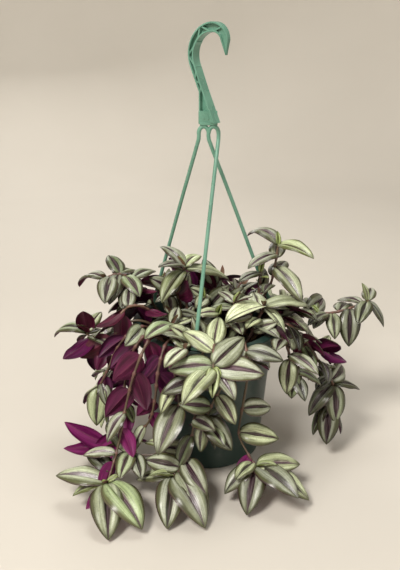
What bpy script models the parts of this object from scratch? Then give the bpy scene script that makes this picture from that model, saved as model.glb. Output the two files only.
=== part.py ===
"""Potted tradescantia in a plastic hanging basket, standing on its base.

Metres, +Z up. The origin is under the middle of the pot, on the plane that the pot stands on.
The plant is a set of rooted shoots: each stem and the leaves grown on it are one closed solid.
Tables below are in millimetres and degrees; MM turns them into metres.
A heading is counted from +X towards +Y, so -90 is the front of the object.
"""
import math
import random

import bmesh
import bpy
from mathutils import Matrix, Vector
from mathutils.bvhtree import BVHTree

MM = 0.001
GAP = 0.3                       # clearance between separate pieces that touch

# Pot
POT_HEIGHT = 155.0
RIM_RADIUS = 82.5
BASE_RADIUS = 61.5
WALL_TOP_RADIUS = 74.6          # outside of the wall, under the rim
WALL = 1.4
BASE_THICKNESS = 1.6
LEDGE_THICKNESS = 2.4
BAND_DEPTH = 14.0               # how far the rim's outer band hangs down
BAND_THICKNESS = 1.5
POT_SIDES = 48
DRAIN_RADIUS = 4.5
DRAIN_CIRCLE = 42.0
DRAIN_COUNT = 6
SLOT_RADIUS = (WALL_TOP_RADIUS + RIM_RADIUS - BAND_THICKNESS) / 2
SLOT_SIZE = (3.8, 6.2)          # radial, tangential

# Soil
SOIL_TOP = 138.5
SOIL_SIDES = 32

# Hanger
STRAND_RADIUS = 2.0
STRAND_SIDES = 6
STRAND_HEADINGS = {"front": -99.0, "back_left": 141.0, "back_right": 21.0}
STRAND_TOPS = {"front": 11.0, "back_left": -9.0, "back_right": 1.0}
STRAND_TOP_Z = 361.0
STRAND_BEND_Z = 356.0
TAB_SIZE = (3.0, 5.2)           # the part that goes through the rim's slot
BARB_WIDTH = 9.0
HOOK_TURN = -38.0               # heading of the hook's plane
HOOK_WEB = 1.8
HOOK_RIM = 1.7
HOOK_LEAN = 24.0                # how far the shaft leans back from upright
HOOK_FOOT = 30.0                # length of the foot, which widens from the neck down to the hub
HOOK_FOOT_Z = 371.3
HOOK_FOOT_WIDTH = 19.5
HOOK_NECK = (-5.0, 401.6)       # middle of the neck on top of the foot, where the shaft starts
HOOK_NECK_WIDTH = 5.2
HOOK_DEPTH = 11.0               # at the foot and the neck
HOOK_SECTIONS = 28              # lofted sections from the neck to the tip, and in the foot
FOOT_SECTIONS = 3
RIB_THICKNESS = 1.5

# The hook above its foot: each run's length and turn, then the width and depth where it ends
HOOK_RUNS = {
    "shaft": (26.0, 0.0, 6.0, 11.0),
    "limb": (51.0, 114.0, 9.4, 9.5),
    "crown": (19.5, 85.0, 8.4, 5.0),
    "point": (13.5, 0.0, 1.0, 3.0),
}
HOOK_LENGTH = sum(run[0] for run in HOOK_RUNS.values())

# Distances from the neck at which the zigzag of ribs meets the outer and the inner rim in turn
RIB_PLACES = (-7.0, 6.0, 12.0, 22.0, 36.0, 53.0, 64.0, 76.0, 86.0)

# Shoots
STEM_SIDES = 4
STEM_STEPS = 2                  # tube sections per span of a route
STEM_ROOT_RADIUS = 2.0
STEM_TIP_RADIUS = 1.2
STEM_START = SOIL_TOP + GAP
FLOOR_GAP = 0.5                 # lowest point of a leaf above the standing plane
LEAF_RINGS = (0.22, 0.62)       # places of the leaf's cross-sections along its length
CURLED_RINGS = (0.16, 0.42, 0.74)
CURLED_BEND = 60.0              # a leaf bent further than this has the finer rings
LEAF_THICKNESS = 1.4
LEAF_BEND = 32.0
LEAF_FOLD = 13.0
YOUNG_FOLD = 48.0
YOUNG_BEND = 12.0
YOUNG_LENGTH = 20.0
RANKED_LENGTHS = (36.0, 52.0)   # ruled leaves in two ranks: ranges of length, bend and fold
RANKED_BENDS = (22.0, 52.0)
RANKED_FOLDS = (8.0, 18.0)
RANKED_STRETCH = 0.74           # share of a ruled shoot's stem that bears leaves, up to the tip
LEAF_BREADTH = 0.29             # greatest half-width over length
FILL_START = 1.1                # ruled leaves between the hand-set ones: first place, step, room, lengths
FILL_STEP = 0.5
FILL_ROOM = 0.24
FILL_LENGTHS = (34.0, 48.0)
TIP_OVERLAP = 1.6               # how far inside the stem's end the last leaves start
CLEARANCE = 0.45                # how much fatter a leaf is while it is tested against the others

# Turns (heading, pitch) and scales tried in order until a leaf clears what is already there
NUDGES = [(0, 0, 1.0)]
for _size, _scale in ((7, 1.0), (14, 1.0), (22, 0.94), (32, 0.86), (44, 0.76)):
    for _way in (90, 270, 0, 180, 45, 135, 315, 225):
        _heading, _pitch = math.cos(math.radians(_way)), math.sin(math.radians(_way))
        NUDGES.append((_heading * _size, _pitch * _size, _scale))

# Each shoot: the points of its stem, then its leaves.
# A leaf: place along the stem (in points), heading and pitch of its chord, length, then where they
# differ from the usual: roll about its own axis, bend from base to tip, fold along the midrib.
SHOOTS = {
    # the big rosette over the middle of the front rim
    "shoot_front_rosette": (
        [(4, -40, 139), (6, -66, 161), (6, -88, 165), (5, -104, 147)],
        [(3, 8, -12, 54, 34), (3, -129, -24, 52), (3, -92, -30, 34, 0, 14, 42), (2.9, 44, 20, 48, 34),
         (2.9, 168, -16, 46, -34), (3, -50, -34, 40), (3, -60, -10, 16, 0, 12, YOUNG_FOLD),
         (2.3, 140, 14, 40, -20), (2, 80, 24, 38)]),
    # the pale spreading rosette right of the middle
    "shoot_middle_right": (
        [(38, -42, 139), (48, -38, 158), (57, -30, 174), (61, -26, 183)],
        [(3, -142, -27, 58, 0, 28, 24), (3, 12, -6, 54, 0, 50), (2.8, 42, -66, 46, 180, 24),
         (2.9, -24, -54, 38), (2.6, 24, -12, 38), (3, -100, 42, 16, 0, 12, YOUNG_FOLD),
         (1.4, -42, -10, 34), (2.2, 100, 16, 38), (1.8, -120, 0, 30)]),
    # the tall shoot behind the right of the rim
    "shoot_tall_right": (
        [(40, 12, 139), (54, 14, 162), (70, 13, 190), (75, 14, 214), (77, 15, 229), (78, 16, 238)],
        [(5, 140, 3, 48, 0, 105), (5, -38, -8, 46, 12, 30, 30), (5, 95, 65, 16, 0, 10, YOUNG_FOLD),
         (3.9, -145, -12, 42), (3, -52, -33, 52), (2.1, -124, -13, 32), (2.5, 60, 10, 38),
         (1.3, 70, -10, 34), (3.6, 80, 20, 34)]),
    "shoot_inner_right": (
        [(40, -10, 139), (50, -2, 162), (58, 8, 188), (59, 10, 208)],
        [(3, -146, -9, 31), (2.4, 150, -46, 28), (1.8, -137, -2, 30, 180), (2.7, -50, 12, 14),
         (3, 70, 40, 18, 0, 15, YOUNG_FOLD), (1.2, -20, -5, 26)]),
    "shoot_inner_middle": (
        [(20, -34, 139), (26, -30, 165), (29, -26, 187)],
        [(2, 132, 12, 27), (1.5, 134, -2, 24, 180), (1.7, 156, -18, 38), (1.9, -30, 18, 26),
         (2, 20, 60, 15, 0, 12, YOUNG_FOLD), (0.9, -150, 0, 30), (1.1, -70, -6, 30)]),
    # the upright shoot above the middle left
    "shoot_tall_left": (
        [(-16, -8, 139), (-21, 0, 165), (-25, 5, 192), (-25, 9, 215)],
        [(3, 124, 28, 42, 0, 62), (3, -138, 13, 38), (2.8, 132, 4, 34), (3, 57, 4, 36, 0, 66),
         (2.9, 10, -17, 54), (2.8, -125, -31, 48, 0, 26, 30), (2.4, 155, -20, 28, 180),
         (3, -170, 62, 16, 0, 12, YOUNG_FOLD), (1.5, -20, 6, 32), (1.2, 100, 0, 34), (1.9, 60, -12, 34)]),
    "shoot_low_left": (
        [(-36, -22, 139), (-38, -16, 154), (-39, -12, 168)],
        [(2, -31, 7, 37), (1.8, -60, -22, 34), (1.5, -150, -8, 27), (2, 100, 32, 30),
         (1.2, 20, 4, 30), (2, -150, 58, 14, 0, 12, YOUNG_FOLD)]),
    # the long shoot that arches out over the upper left
    "shoot_upper_left": (
        [(-50, 12, 139), (-62, 16, 170), (-80, 17, 193), (-98, 16, 203), (-115, 14, 197)],
        [(4, 152, -24, 44, 0, 92), (4, 75, -64, 34), (3.6, -93, -25, 42, 0, 24), (3.3, 58, -12, 40),
         (2.3, 53, -3, 42), (2.7, -60, -18, 40), (2.3, 70, -58, 26), (1.7, -48, 8, 28, 180),
         (3.0, 120, 20, 36), (1.9, 130, 4, 36), (3.1, -104, -30, 40, 0, 24),
         (2, -112, -24, 42), (4, -110, 40, 15, 0, 12, YOUNG_FOLD)]),
    "shoot_left_inner": (
        [(-46, -2, 139), (-56, -10, 163), (-70, -18, 178), (-84, -23, 180), (-93, -28, 173)],
        [(2.1, 104, -66, 48), (1.7, -49, 8, 34, 180), (4, 60, -77, 50), (3.0, 152, -30, 34),
         (3.6, -150, -20, 36, 180), (2.6, 60, -62, 40), (3.2, 90, 4, 32)]),
    # the outer left shoot whose dark undersides face the front
    "shoot_outer_left": (
        [(-46, -18, 139), (-60, -21, 158), (-80, -22, 163), (-98, -20, 148), (-112, -14, 134),
         (-124, -8, 132), (-136, -2, 140)],
        [(6, -88, 64, 38), (6, -110, 43, 26), (6, 166, -14, 46, 0, 98), (5.8, 138, -47, 26, 0, 70),
         (5.5, -124, -10, 46, 180, 24), (5, 137, -80, 40), (5.7, -40, -5, 34), (5.9, 56, -14, 30),
         (6, 62, 26, 34), (4.4, 40, 10, 36), (4.2, -110, -50, 34, 180)]),
    "shoot_left_front": (
        [(-28, -30, 139), (-32, -36, 154), (-37, -42, 169)],
        [(2, -126, 0, 46), (1.8, 30, 12, 32), (1.6, -40, -12, 32), (2, 110, 20, 32),
         (1.2, 170, 2, 34, 180), (2, -20, 62, 14, 0, 12, YOUNG_FOLD)]),
    "shoot_left_hanging": (
        [(-48, -24, 139), (-61, -30, 158), (-77, -39, 161), (-94, -45, 144), (-106, -46, 118),
         (-117, -46, 95)],
        [(3.5, 76, -68, 42), (5, 150, -52, 38), (5, -102, -68, 44), (4.8, -60, -55, 28),
         (4.9, 50, -55, 28), (4.2, 130, -20, 34), (4.4, -90, -60, 30, 180), (5, -170, -70, 22)]),
    "shoot_left_low": (
        [(-40, -34, 139), (-51, -44, 158), (-66, -57, 161), (-80, -62, 140), (-86, -58, 115), (-89, -56, 92),
         (-88, -54, 76)],
        [(3.8, 57, -73, 44), (6, 105, -80, 38), (5.9, -80, -58, 34, 180), (5, -150, -40, 34),
         (4.6, 20, -60, 32, 180), (5.5, 170, -30, 32, 180), (6, -40, -66, 22)]),
    # the shoot that ends in a pair of magenta undersides low on the left
    "shoot_magenta_pair": (
        [(-30, -39, 139), (-35, -60, 158), (-43, -77, 160), (-50, -89, 136), (-54, -88, 104), (-62, -84, 74),
         (-84, -76, 50), (-108, -64, 33)],
        [(7, 172, 27, 55, 180, 14), (7, -160, 8, 50, 180, 14), (7, -120, -38, 34, 180),
         (6.5, 100, 15, 34), (3.5, 30, -75, 36), (5.2, -140, -60, 30), (5.8, 60, -40, 30, 180)]),
    # the long trail with the big hanging leaf and the small rosette at its end
    "shoot_front_trail": (
        [(-22, -46, 139), (-26, -62, 158), (-32, -81, 160), (-33, -92, 138), (-29, -92, 99), (-37, -95, 66),
         (-52, -98, 47), (-68, -98, 44), (-82, -96, 46)],
        [(4, -119, -40, 56, 0, 24), (8, 128, 20, 43), (8, -142, 8, 30), (8, -117, -14, 36),
         (7.6, -72, -22, 32), (5.6, 150, -10, 26), (8, -50, 30, 14, 0, 12, YOUNG_FOLD),
         (3.4, -150, -50, 34)]),
    "shoot_floor_left": (
        [(-36, -40, 139), (-46, -51, 158), (-60, -65, 160), (-74, -79, 132), (-84, -86, 96), (-92, -102, 58),
         (-99, -118, 36), (-102, -128, 30)],
        [(7, 168, 0, 56), (7, -172, -20, 38, 0, 26, 26), (7, -83, -27, 61, 0, 44), (7, -49, -27, 64, 0, 46),
         (7, 20, 24, 16), (6.8, -136, -34, 34, 180, 10), (6, 140, 10, 38), (5.3, 175, -30, 38),
         (4.2, -140, -50, 36), (7, -110, 36, 13, 0, 12, YOUNG_FOLD)]),
    "shoot_floor_front": (
        [(-2, -48, 139), (-2, -66, 158), (-4, -86, 160), (-9, -94, 134), (-13, -95, 88), (-19, -100, 54),
         (-28, -110, 37), (-35, -118, 31)],
        [(7, 166, -17, 44), (7, -160, 14, 28, 0, 20, 34), (7, -97, -31, 56, 0, 44), (7, -56, -26, 64, 0, 46),
         (6.4, -50, -30, 58, 0, 44), (6.7, 68, -4, 27), (4.6, -140, -62, 40), (3.6, 150, -40, 34)]),
    # the pink stem down the front right and its rosette on the floor
    "shoot_floor_right": (
        [(26, -46, 139), (31, -62, 158), (38, -80, 160), (40, -91, 134), (36, -89, 96), (33, -89, 64),
         (42, -98, 46), (51, -107, 35)],
        [(7, 8, -3, 48, 20), (7, -20, 14, 24, 0, 16, 36), (6.7, -128, -5, 33), (7, -106, -37, 52, 0, 40),
         (7, -24, -23, 64, 0, 30), (7, -46, -23, 58, 0, 34), (6.8, -148, -32, 44), (5, 2, -12, 44, 42),
         (4.1, 30, -14, 38, 44), (6.2, -140, -50, 32, 180, 10),
         (2.2, -20, -8, 40, 24), (1.8, -140, -4, 38, -24), (2.6, 36, -34, 36)]),
    "shoot_front_low": (
        [(13, -47, 139), (16, -66, 158), (19, -86, 159), (16, -95, 130), (4, -96, 102), (-4, -94, 79)],
        [(5, 150, -10, 34), (5, 34, 6, 37), (5, -52, -19, 36), (5, -128, -58, 36), (4.9, -20, -70, 34),
         (5, -100, 40, 13, 0, 12, YOUNG_FOLD)]),
    "shoot_front_left_rosette": (
        [(-15, -44, 139), (-18, -64, 159), (-23, -84, 159)],
        [(2, -124, -10, 36), (2, 36, 8, 34), (1.9, 72, 22, 30), (2, 138, 8, 26), (1.4, -160, 6, 34),
         (2, -70, 50, 13, 0, 12, YOUNG_FOLD)]),
    "shoot_right_rim": (
        [(46, -28, 139), (58, -38, 158), (74, -47, 160), (84, -52, 146), (88, -54, 130), (94, -56, 112)],
        [(3.6, -48, -12, 41), (3.9, -104, -66, 38), (4.2, -86, -66, 38), (5, -70, -58, 32),
         (4.6, 0, -30, 36), (3.2, 40, 0, 34), (5, 60, -50, 28, 180), (2.6, -110, 10, 34)]),
    # the long shoot that reaches out to the right
    "shoot_far_right": (
        [(52, 0, 139), (65, 0, 158), (86, 1, 164), (110, 5, 162), (135, 9, 158), (160, 12, 163),
         (182, 14, 172)],
        [(5.7, 134, -11, 35), (6, 140, 66, 22), (6, -24, -54, 36), (6, -118, -28, 36), (5.1, -96, -62, 44),
         (4.1, -141, -11, 33), (4.3, -88, -46, 32), (4, -128, -20, 28), (3.7, 150, 36, 16),
         (5.6, 60, -78, 24), (4.6, 60, 0, 38), (3.4, 90, 4, 38), (2.7, -60, 2, 34), (6, 70, 10, 30)]),
    "shoot_right_purple": (
        [(50, -8, 139), (66, -10, 158), (86, -12, 160), (99, -12, 142), (108, -11, 127), (118, -10, 122),
         (130, -10, 123)],
        [(6, -50, -4, 36, 180), (6, 33, -58, 28), (3.2, 65, -78, 33), (5, 110, 10, 30), (4.1, -60, -40, 30),
         (6, 60, 20, 24)]),
    "shoot_right_hanging": (
        [(50, -16, 139), (65, -22, 158), (86, -28, 161), (104, -28, 146), (122, -27, 118), (134, -26, 99),
         (141, -25, 85), (139, -25, 60)],
        [(6, 114, 12, 35), (6, 16, -19, 37), (6, -150, -44, 45), (6, -78, -71, 44), (7, -172, -66, 44),
         (7, -104, -70, 46), (7, -6, -70, 42), (5.3, -130, -10, 28), (4.6, 60, -10, 36),
         (6.6, 80, -50, 36)]),
}

# Hand-set shoots that stay bare between their leaves, so that the pot shows beside them
BARE_SHOOTS = ("shoot_floor_right", "shoot_front_rosette", "shoot_front_trail", "shoot_tall_right")
# Hand-set shoots whose ruled leaves hang with their undersides to the front
TURNED_SHOOTS = ("shoot_outer_left", "shoot_left_hanging", "shoot_left_low", "shoot_left_inner",
                 "shoot_left_front", "shoot_magenta_pair", "shoot_floor_left")

# Shoots that trail over the rim round the back and sides: heading, reach, height of the tip above the
# standing plane, number of leaves
TRAILING = {
    "shoot_back_1": (37, 138, 96, 8), "shoot_back_2": (53, 118, 40, 9), "shoot_back_3": (70, 150, 120, 8),
    "shoot_back_4": (86, 112, 22, 10), "shoot_back_5": (103, 136, 84, 8), "shoot_back_6": (120, 120, 46, 9),
    "shoot_back_7": (157, 128, 66, 8), "shoot_back_8": (172, 116, 30, 9),
    "shoot_side_right": (10, 116, 60, 7),
}

# Short upright shoots that fill the crown: x, y of the root, lean heading, height, number of leaves
UPRIGHT = {
    "shoot_crown_1": (2, 22, 60, 48, 6), "shoot_crown_2": (-30, 34, 150, 40, 6),
    "shoot_crown_3": (26, 26, 50, 44, 6), "shoot_crown_4": (-4, 52, 100, 36, 5),
    "shoot_crown_5": (24, 4, 10, 30, 5), "shoot_crown_6": (-6, -24, 170, 26, 5),
    "shoot_crown_7": (9, -13, -80, 40, 6), "shoot_crown_8": (-27, 12, -110, 52, 7),
    "shoot_crown_9": (32, -24, -50, 40, 6), "shoot_crown_10": (0, 5, -95, 50, 7),
}


# ---------------------------------------------------------------- vectors and routes

def mm(*values):
    return Vector(values) * MM


def toward(heading, pitch=0.0):
    """Unit vector of a heading and a pitch in degrees."""
    h, p = math.radians(heading), math.radians(pitch)
    return Vector((math.cos(p) * math.cos(h), math.cos(p) * math.sin(h), math.sin(p)))


def spline(points, place):
    """Point of the Catmull-Rom curve through the points, at a place counted in points."""
    last = len(points) - 1
    i = min(int(place), last - 1)
    t = place - i
    p0, p1, p2, p3 = (points[min(max(k, 0), last)] for k in (i - 1, i, i + 1, i + 2))
    return 0.5 * (2 * p1 + (p2 - p0) * t + (2 * p0 - 5 * p1 + 4 * p2 - p3) * t * t
                  + (3 * p1 - p0 - 3 * p2 + p3) * t ** 3)


def spline_direction(points, place):
    step = 0.02
    last = len(points) - 1
    return (spline(points, min(place + step, last)) - spline(points, max(place - step, 0))).normalized()


def stem_point(route, place):
    """Point on the axis of the stem, whose sections are STEM_STEPS to a span with straight runs between."""
    low = math.floor(place * STEM_STEPS) / STEM_STEPS
    high = min(low + 1 / STEM_STEPS, len(route) - 1)
    if high <= low:
        return spline(route, low)
    return spline(route, low).lerp(spline(route, high), (place - low) / (high - low))


def leaf_base(route, place):
    """Where a leaf starts: inside the stem, and a little short of its end."""
    return stem_point(route, place) - spline_direction(route, place) * TIP_OVERLAP * MM


# ---------------------------------------------------------------- leaves

class Leaf:
    """A pointed oval blade on a circular arc from its base, grooved along the midrib."""

    def __init__(self, base, axis, face, length, bend, fold):
        self.base, self.axis, self.length = base, axis.normalized(), length
        self.face = (face - self.axis * face.dot(self.axis)).normalized()
        self.bend, self.fold = bend, fold

    def turned(self, heading, pitch, scale):
        side = self.axis.cross(self.face)
        turn = Matrix.Rotation(math.radians(heading), 3, "Z")
        turn = turn @ Matrix.Rotation(math.radians(pitch), 3, side)
        return Leaf(self.base, turn @ self.axis, turn @ self.face, self.length * scale, self.bend, self.fold)

    def half_width(self, t):
        return self.length * LEAF_BREADTH * 2.556 * t ** 0.55 * (1 - t) ** 0.85

    def point(self, t, u=0.0, lift=0.0, wider=0.0):
        """Point at t along the blade and u across it, -1 to 1, lifted off the upper side."""
        bend = math.radians(self.bend)
        angle = bend * (0.5 - t)
        along = (math.sin(bend / 2) - math.sin(angle)) / bend
        rise = (math.cos(angle) - math.cos(bend / 2)) / bend
        normal = self.face * math.cos(angle) - self.axis * math.sin(angle)
        width = (self.half_width(t) + wider) * abs(u)
        fold = math.radians(self.fold)
        side = self.axis.cross(self.face) * math.copysign(1, u)
        return (self.base + (self.axis * along + self.face * rise) * self.length
                + side * width * math.cos(fold) + normal * (width * math.sin(fold) + lift))

    def outline(self):
        """Points along the midrib and both edges, on the underside."""
        places = [(t, u) for t in (0.25, 0.5, 0.75, 0.98) for u in (-1, 0, 1)]
        return [self.point(t, u, -LEAF_THICKNESS * MM) for t, u in places]

    def solid(self, extra=0.0, start=0.0):
        """Vertices and faces of the closed blade: rings of four points between base and tip."""
        half = LEAF_THICKNESS * MM / 2 + extra
        rings = [t for t in (CURLED_RINGS if self.bend > CURLED_BEND else LEAF_RINGS) if t > start]
        points = [self.point(start)]
        for t in rings:
            points += [self.point(t, -1, 0, extra), self.point(t, 0, -half),
                       self.point(t, 1, 0, extra), self.point(t, 0, half)]
        points.append(self.point(1.0, 0, 0))
        tip = len(points) - 1
        faces = []
        for k in range(4):
            after = (k + 1) % 4
            faces.append((0, 1 + k, 1 + after))
            for ring in range(len(rings) - 1):
                a, b = 1 + 4 * ring, 5 + 4 * ring
                faces += [(a + k, b + k, b + after), (a + k, b + after, a + after)]
            end = 1 + 4 * (len(rings) - 1)
            faces.append((end + k, tip, end + after))
        return points, faces


def hand_set_leaf(route, entry):
    place, heading, pitch, length = entry[:4]
    roll, bend, fold = (tuple(entry[4:]) + (0.0, LEAF_BEND, LEAF_FOLD)[len(entry) - 4:])[:3]
    axis = toward(heading, pitch)
    face = Matrix.Rotation(math.radians(roll), 3, axis) @ toward(heading, pitch + 90)
    return Leaf(leaf_base(route, place), axis, face, length * MM, bend, fold)


def ranked_leaf(route, place, rank, rng, length, stance="spread"):
    """A leaf of one of the two ranks along a stem, with its upper side out and up when it is spread,
    to the stem when it is erect, and to the back when it hangs."""
    base, along = leaf_base(route, place), spline_direction(route, place)
    outward = Vector((base.x, base.y, 0)).normalized()
    jitter = Vector([rng.uniform(-0.35, 0.35) for _ in range(3)])
    facing, pull = {
        "spread": (outward * 0.75 + Vector((0, 0, 0.8)), 0.0),
        "erect": (Vector((0, 0, 0.35)) - outward, 0.9),
        "hanging": (Vector((0, 0.9, 0.15)) - outward * 0.35, -1.1),
    }[stance]
    face = (facing + jitter).normalized()
    side = along.cross(face).normalized() * rank
    axis = along * rng.uniform(0.25, 0.6) + side + face * rng.uniform(-0.1, 0.3) + Vector((0, 0, pull))
    return Leaf(base, axis, face, length * MM, rng.uniform(*RANKED_BENDS), rng.uniform(*RANKED_FOLDS))


def rule_leaves(route, count, seed, erect=False):
    """Leaves in two ranks along the whole of a stem, closing in a small tuft at the tip."""
    rng = random.Random(seed)
    last = len(route) - 1
    leaves = []
    for k in range(count):
        length = rng.uniform(*RANKED_LENGTHS) * (1 if k < count - 2 else 0.7)
        place = last * (1 - RANKED_STRETCH * (1 - k / (count - 1)))
        stance = "erect" if erect and k % 3 == 1 else "spread"
        leaves.append(ranked_leaf(route, place, 1 if k % 2 else -1, rng, length, stance))
    tip = spline_direction(route, last)
    young = Leaf(leaf_base(route, last), tip + Vector((0, 0, 0.3)), tip.orthogonal(), YOUNG_LENGTH * MM,
                 YOUNG_BEND, YOUNG_FOLD)
    return leaves + [young]


def filling_leaves(route, taken, seed, stance):
    """Leaves in two ranks where a hand-set shoot would be bare: away from the places taken."""
    rng = random.Random(seed)
    leaves = []
    place, rank = FILL_START, 1
    while place < len(route) - 1:
        if all(abs(place - other) > FILL_ROOM for other in taken):
            leaves.append(ranked_leaf(route, place, rank, rng, rng.uniform(*FILL_LENGTHS), stance))
            rank = -rank
        place += FILL_STEP
    return leaves


def trailing_route(heading, reach, tip_height):
    """Stem points from the soil, over the rim and down outside the pot."""
    profile = ((46, STEM_START), (66, 161), (85, 164), (85 + (reach - 85) * 0.45, 150),
               (85 + (reach - 85) * 0.8, 0.5 * (150 + tip_height)), (reach, tip_height))
    return [mm(r * math.cos(math.radians(heading + sway)), r * math.sin(math.radians(heading + sway)), z)
            for (r, z), sway in zip(profile, (0, 0, 1, 3, 4, 3))]


def upright_route(x, y, heading, height):
    lean = toward(heading)
    profile = ((0, STEM_START), (3, STEM_START + height * 0.4), (12, STEM_START + height * 0.8),
               (22, STEM_START + height))
    return [mm(x + lean.x * out, y + lean.y * out, z) for out, z in profile]


def all_shoots():
    """Name, route, wished leaves and filling leaves of every shoot, in the order they are placed."""
    shoots = []
    for seed, (name, (points, entries)) in enumerate(SHOOTS.items()):
        route = [mm(*p) for p in points]
        leaves = [hand_set_leaf(route, entry) for entry in entries]
        taken = [entry[0] for entry in entries]
        stance = "hanging" if name in TURNED_SHOOTS else "spread"
        filling = [] if name in BARE_SHOOTS else filling_leaves(route, taken, 300 + seed, stance)
        shoots.append((name, route, leaves, filling))
    for seed, (name, (heading, reach, tip_height, count)) in enumerate(TRAILING.items()):
        route = trailing_route(heading, reach, tip_height)
        shoots.append((name, route, rule_leaves(route, count, 100 + seed), []))
    for seed, (name, (x, y, heading, height, count)) in enumerate(UPRIGHT.items()):
        route = upright_route(x, y, heading, height)
        shoots.append((name, route, rule_leaves(route, count, 200 + seed, True), []))
    return shoots


# ---------------------------------------------------------------- solids

def tube(points, radii, sides, flat_start=False):
    """Vertices and faces of a closed tube through the points, ends filled."""
    verts, faces = [], []
    count = len(points)
    across = None
    for i, point in enumerate(points):
        along = (points[min(i + 1, count - 1)] - points[max(i - 1, 0)]).normalized()
        if flat_start and i == 0:
            along = Vector((0, 0, 1))
        across = along.orthogonal() if across is None else across - along * across.dot(along)
        across.normalize()
        other = along.cross(across)
        for k in range(sides):
            angle = 2 * math.pi * k / sides
            verts.append(point + (across * math.cos(angle) + other * math.sin(angle)) * radii[i])
    for i in range(count - 1):
        for k in range(sides):
            a, b = i * sides + k, i * sides + (k + 1) % sides
            faces.append((a, b, b + sides, a + sides))
    faces.append(tuple(reversed(range(sides))))
    faces.append(tuple((count - 1) * sides + k for k in range(sides)))
    return verts, faces


def stem_solid(route, sides=STEM_SIDES, steps=STEM_STEPS):
    spans = len(route) - 1
    places = [i / steps for i in range(spans * steps + 1)]
    radii = [(STEM_ROOT_RADIUS + (STEM_TIP_RADIUS - STEM_ROOT_RADIUS) * p / spans) * MM for p in places]
    return tube([spline(route, p) for p in places], radii, sides, flat_start=True)


def box(centre, size, heading=0.0):
    """Vertices and faces of a box in millimetres, turned about the vertical through its centre."""
    turn = Matrix.Rotation(math.radians(heading), 3, "Z")
    square = ((-0.5, -0.5), (0.5, -0.5), (0.5, 0.5), (-0.5, 0.5))
    corners = [Vector((x * size[0], y * size[1], z * size[2])) for z in (-0.5, 0.5) for x, y in square]
    verts = [(Vector(centre) + turn @ corner) * MM for corner in corners]
    faces = [(3, 2, 1, 0), (4, 5, 6, 7)] + [(k, (k + 1) % 4, 4 + (k + 1) % 4, 4 + k) for k in range(4)]
    return verts, faces


def turned(profile, sides):
    """Vertices and faces of a closed profile of (radius, height) in millimetres, turned about Z.

    The profile runs from the axis, up the outside and back to the axis."""
    verts, faces = [mm(0, 0, profile[0][1])], []
    ring = profile[1:-1]
    for radius, height in ring:
        for k in range(sides):
            angle = 2 * math.pi * (k + 0.5) / sides
            verts.append(mm(radius * math.cos(angle), radius * math.sin(angle), height))
    verts.append(mm(0, 0, profile[-1][1]))
    top = len(verts) - 1
    for k in range(sides):
        after = (k + 1) % sides
        faces.append((0, 1 + after, 1 + k))
        for i in range(len(ring) - 1):
            a, b = 1 + i * sides, 1 + (i + 1) * sides
            faces.append((a + k, a + after, b + after, b + k))
        end = 1 + (len(ring) - 1) * sides
        faces.append((end + k, end + after, top))
    return verts, faces


def new_object(name, solid, material=None):
    mesh = bpy.data.meshes.new(name)
    mesh.from_pydata([tuple(v) for v in solid[0]], [], solid[1])
    mesh.validate()
    obj = bpy.data.objects.new(name, mesh)
    bpy.context.scene.collection.objects.link(obj)
    if material:
        mesh.materials.append(material)
    return obj


def combined(name, solid, others, operation, material):
    """One object: a solid joined with, or cut by, the others with exact Booleans."""
    obj = new_object(name, solid, material)
    operands = bpy.data.collections.new(name + "_operands")
    bpy.context.scene.collection.children.link(operands)
    for index, other in enumerate(others):
        piece = new_object(f"{name}_operand_{index}", other)
        bpy.context.scene.collection.objects.unlink(piece)
        operands.objects.link(piece)
    modifier = obj.modifiers.new("combine", "BOOLEAN")
    modifier.operation = operation
    modifier.operand_type = "COLLECTION"
    modifier.collection = operands
    modifier.solver = "EXACT"
    bpy.context.view_layer.update()
    mesh = bpy.data.meshes.new_from_object(obj.evaluated_get(bpy.context.evaluated_depsgraph_get()))
    obj.modifiers.clear()
    obj.data = mesh
    for piece in list(operands.objects):
        bpy.data.objects.remove(piece, do_unlink=True)
    bpy.data.collections.remove(operands)
    finish_mesh(mesh)
    return obj


def finish_mesh(mesh):
    """Cuts the faces into triangles and shades the round ones smooth."""
    work = bmesh.new()
    work.from_mesh(mesh)
    bmesh.ops.triangulate(work, faces=work.faces)
    work.to_mesh(mesh)
    work.free()
    mesh.shade_smooth()
    mesh.set_sharp_from_angle(angle=math.radians(40))


def material(name, colour, roughness):
    result = bpy.data.materials.new(name)
    result.use_nodes = True
    shader = result.node_tree.nodes["Principled BSDF"]
    shader.inputs["Base Color"].default_value = (*colour, 1.0)
    shader.inputs["Roughness"].default_value = roughness
    shader.inputs["Metallic"].default_value = 0.0
    return result


# ---------------------------------------------------------------- pot and soil

def wall_radius(height):
    """Outside radius of the pot's wall at a height."""
    return BASE_RADIUS + (WALL_TOP_RADIUS - BASE_RADIUS) * height / (POT_HEIGHT - LEDGE_THICKNESS)


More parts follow.
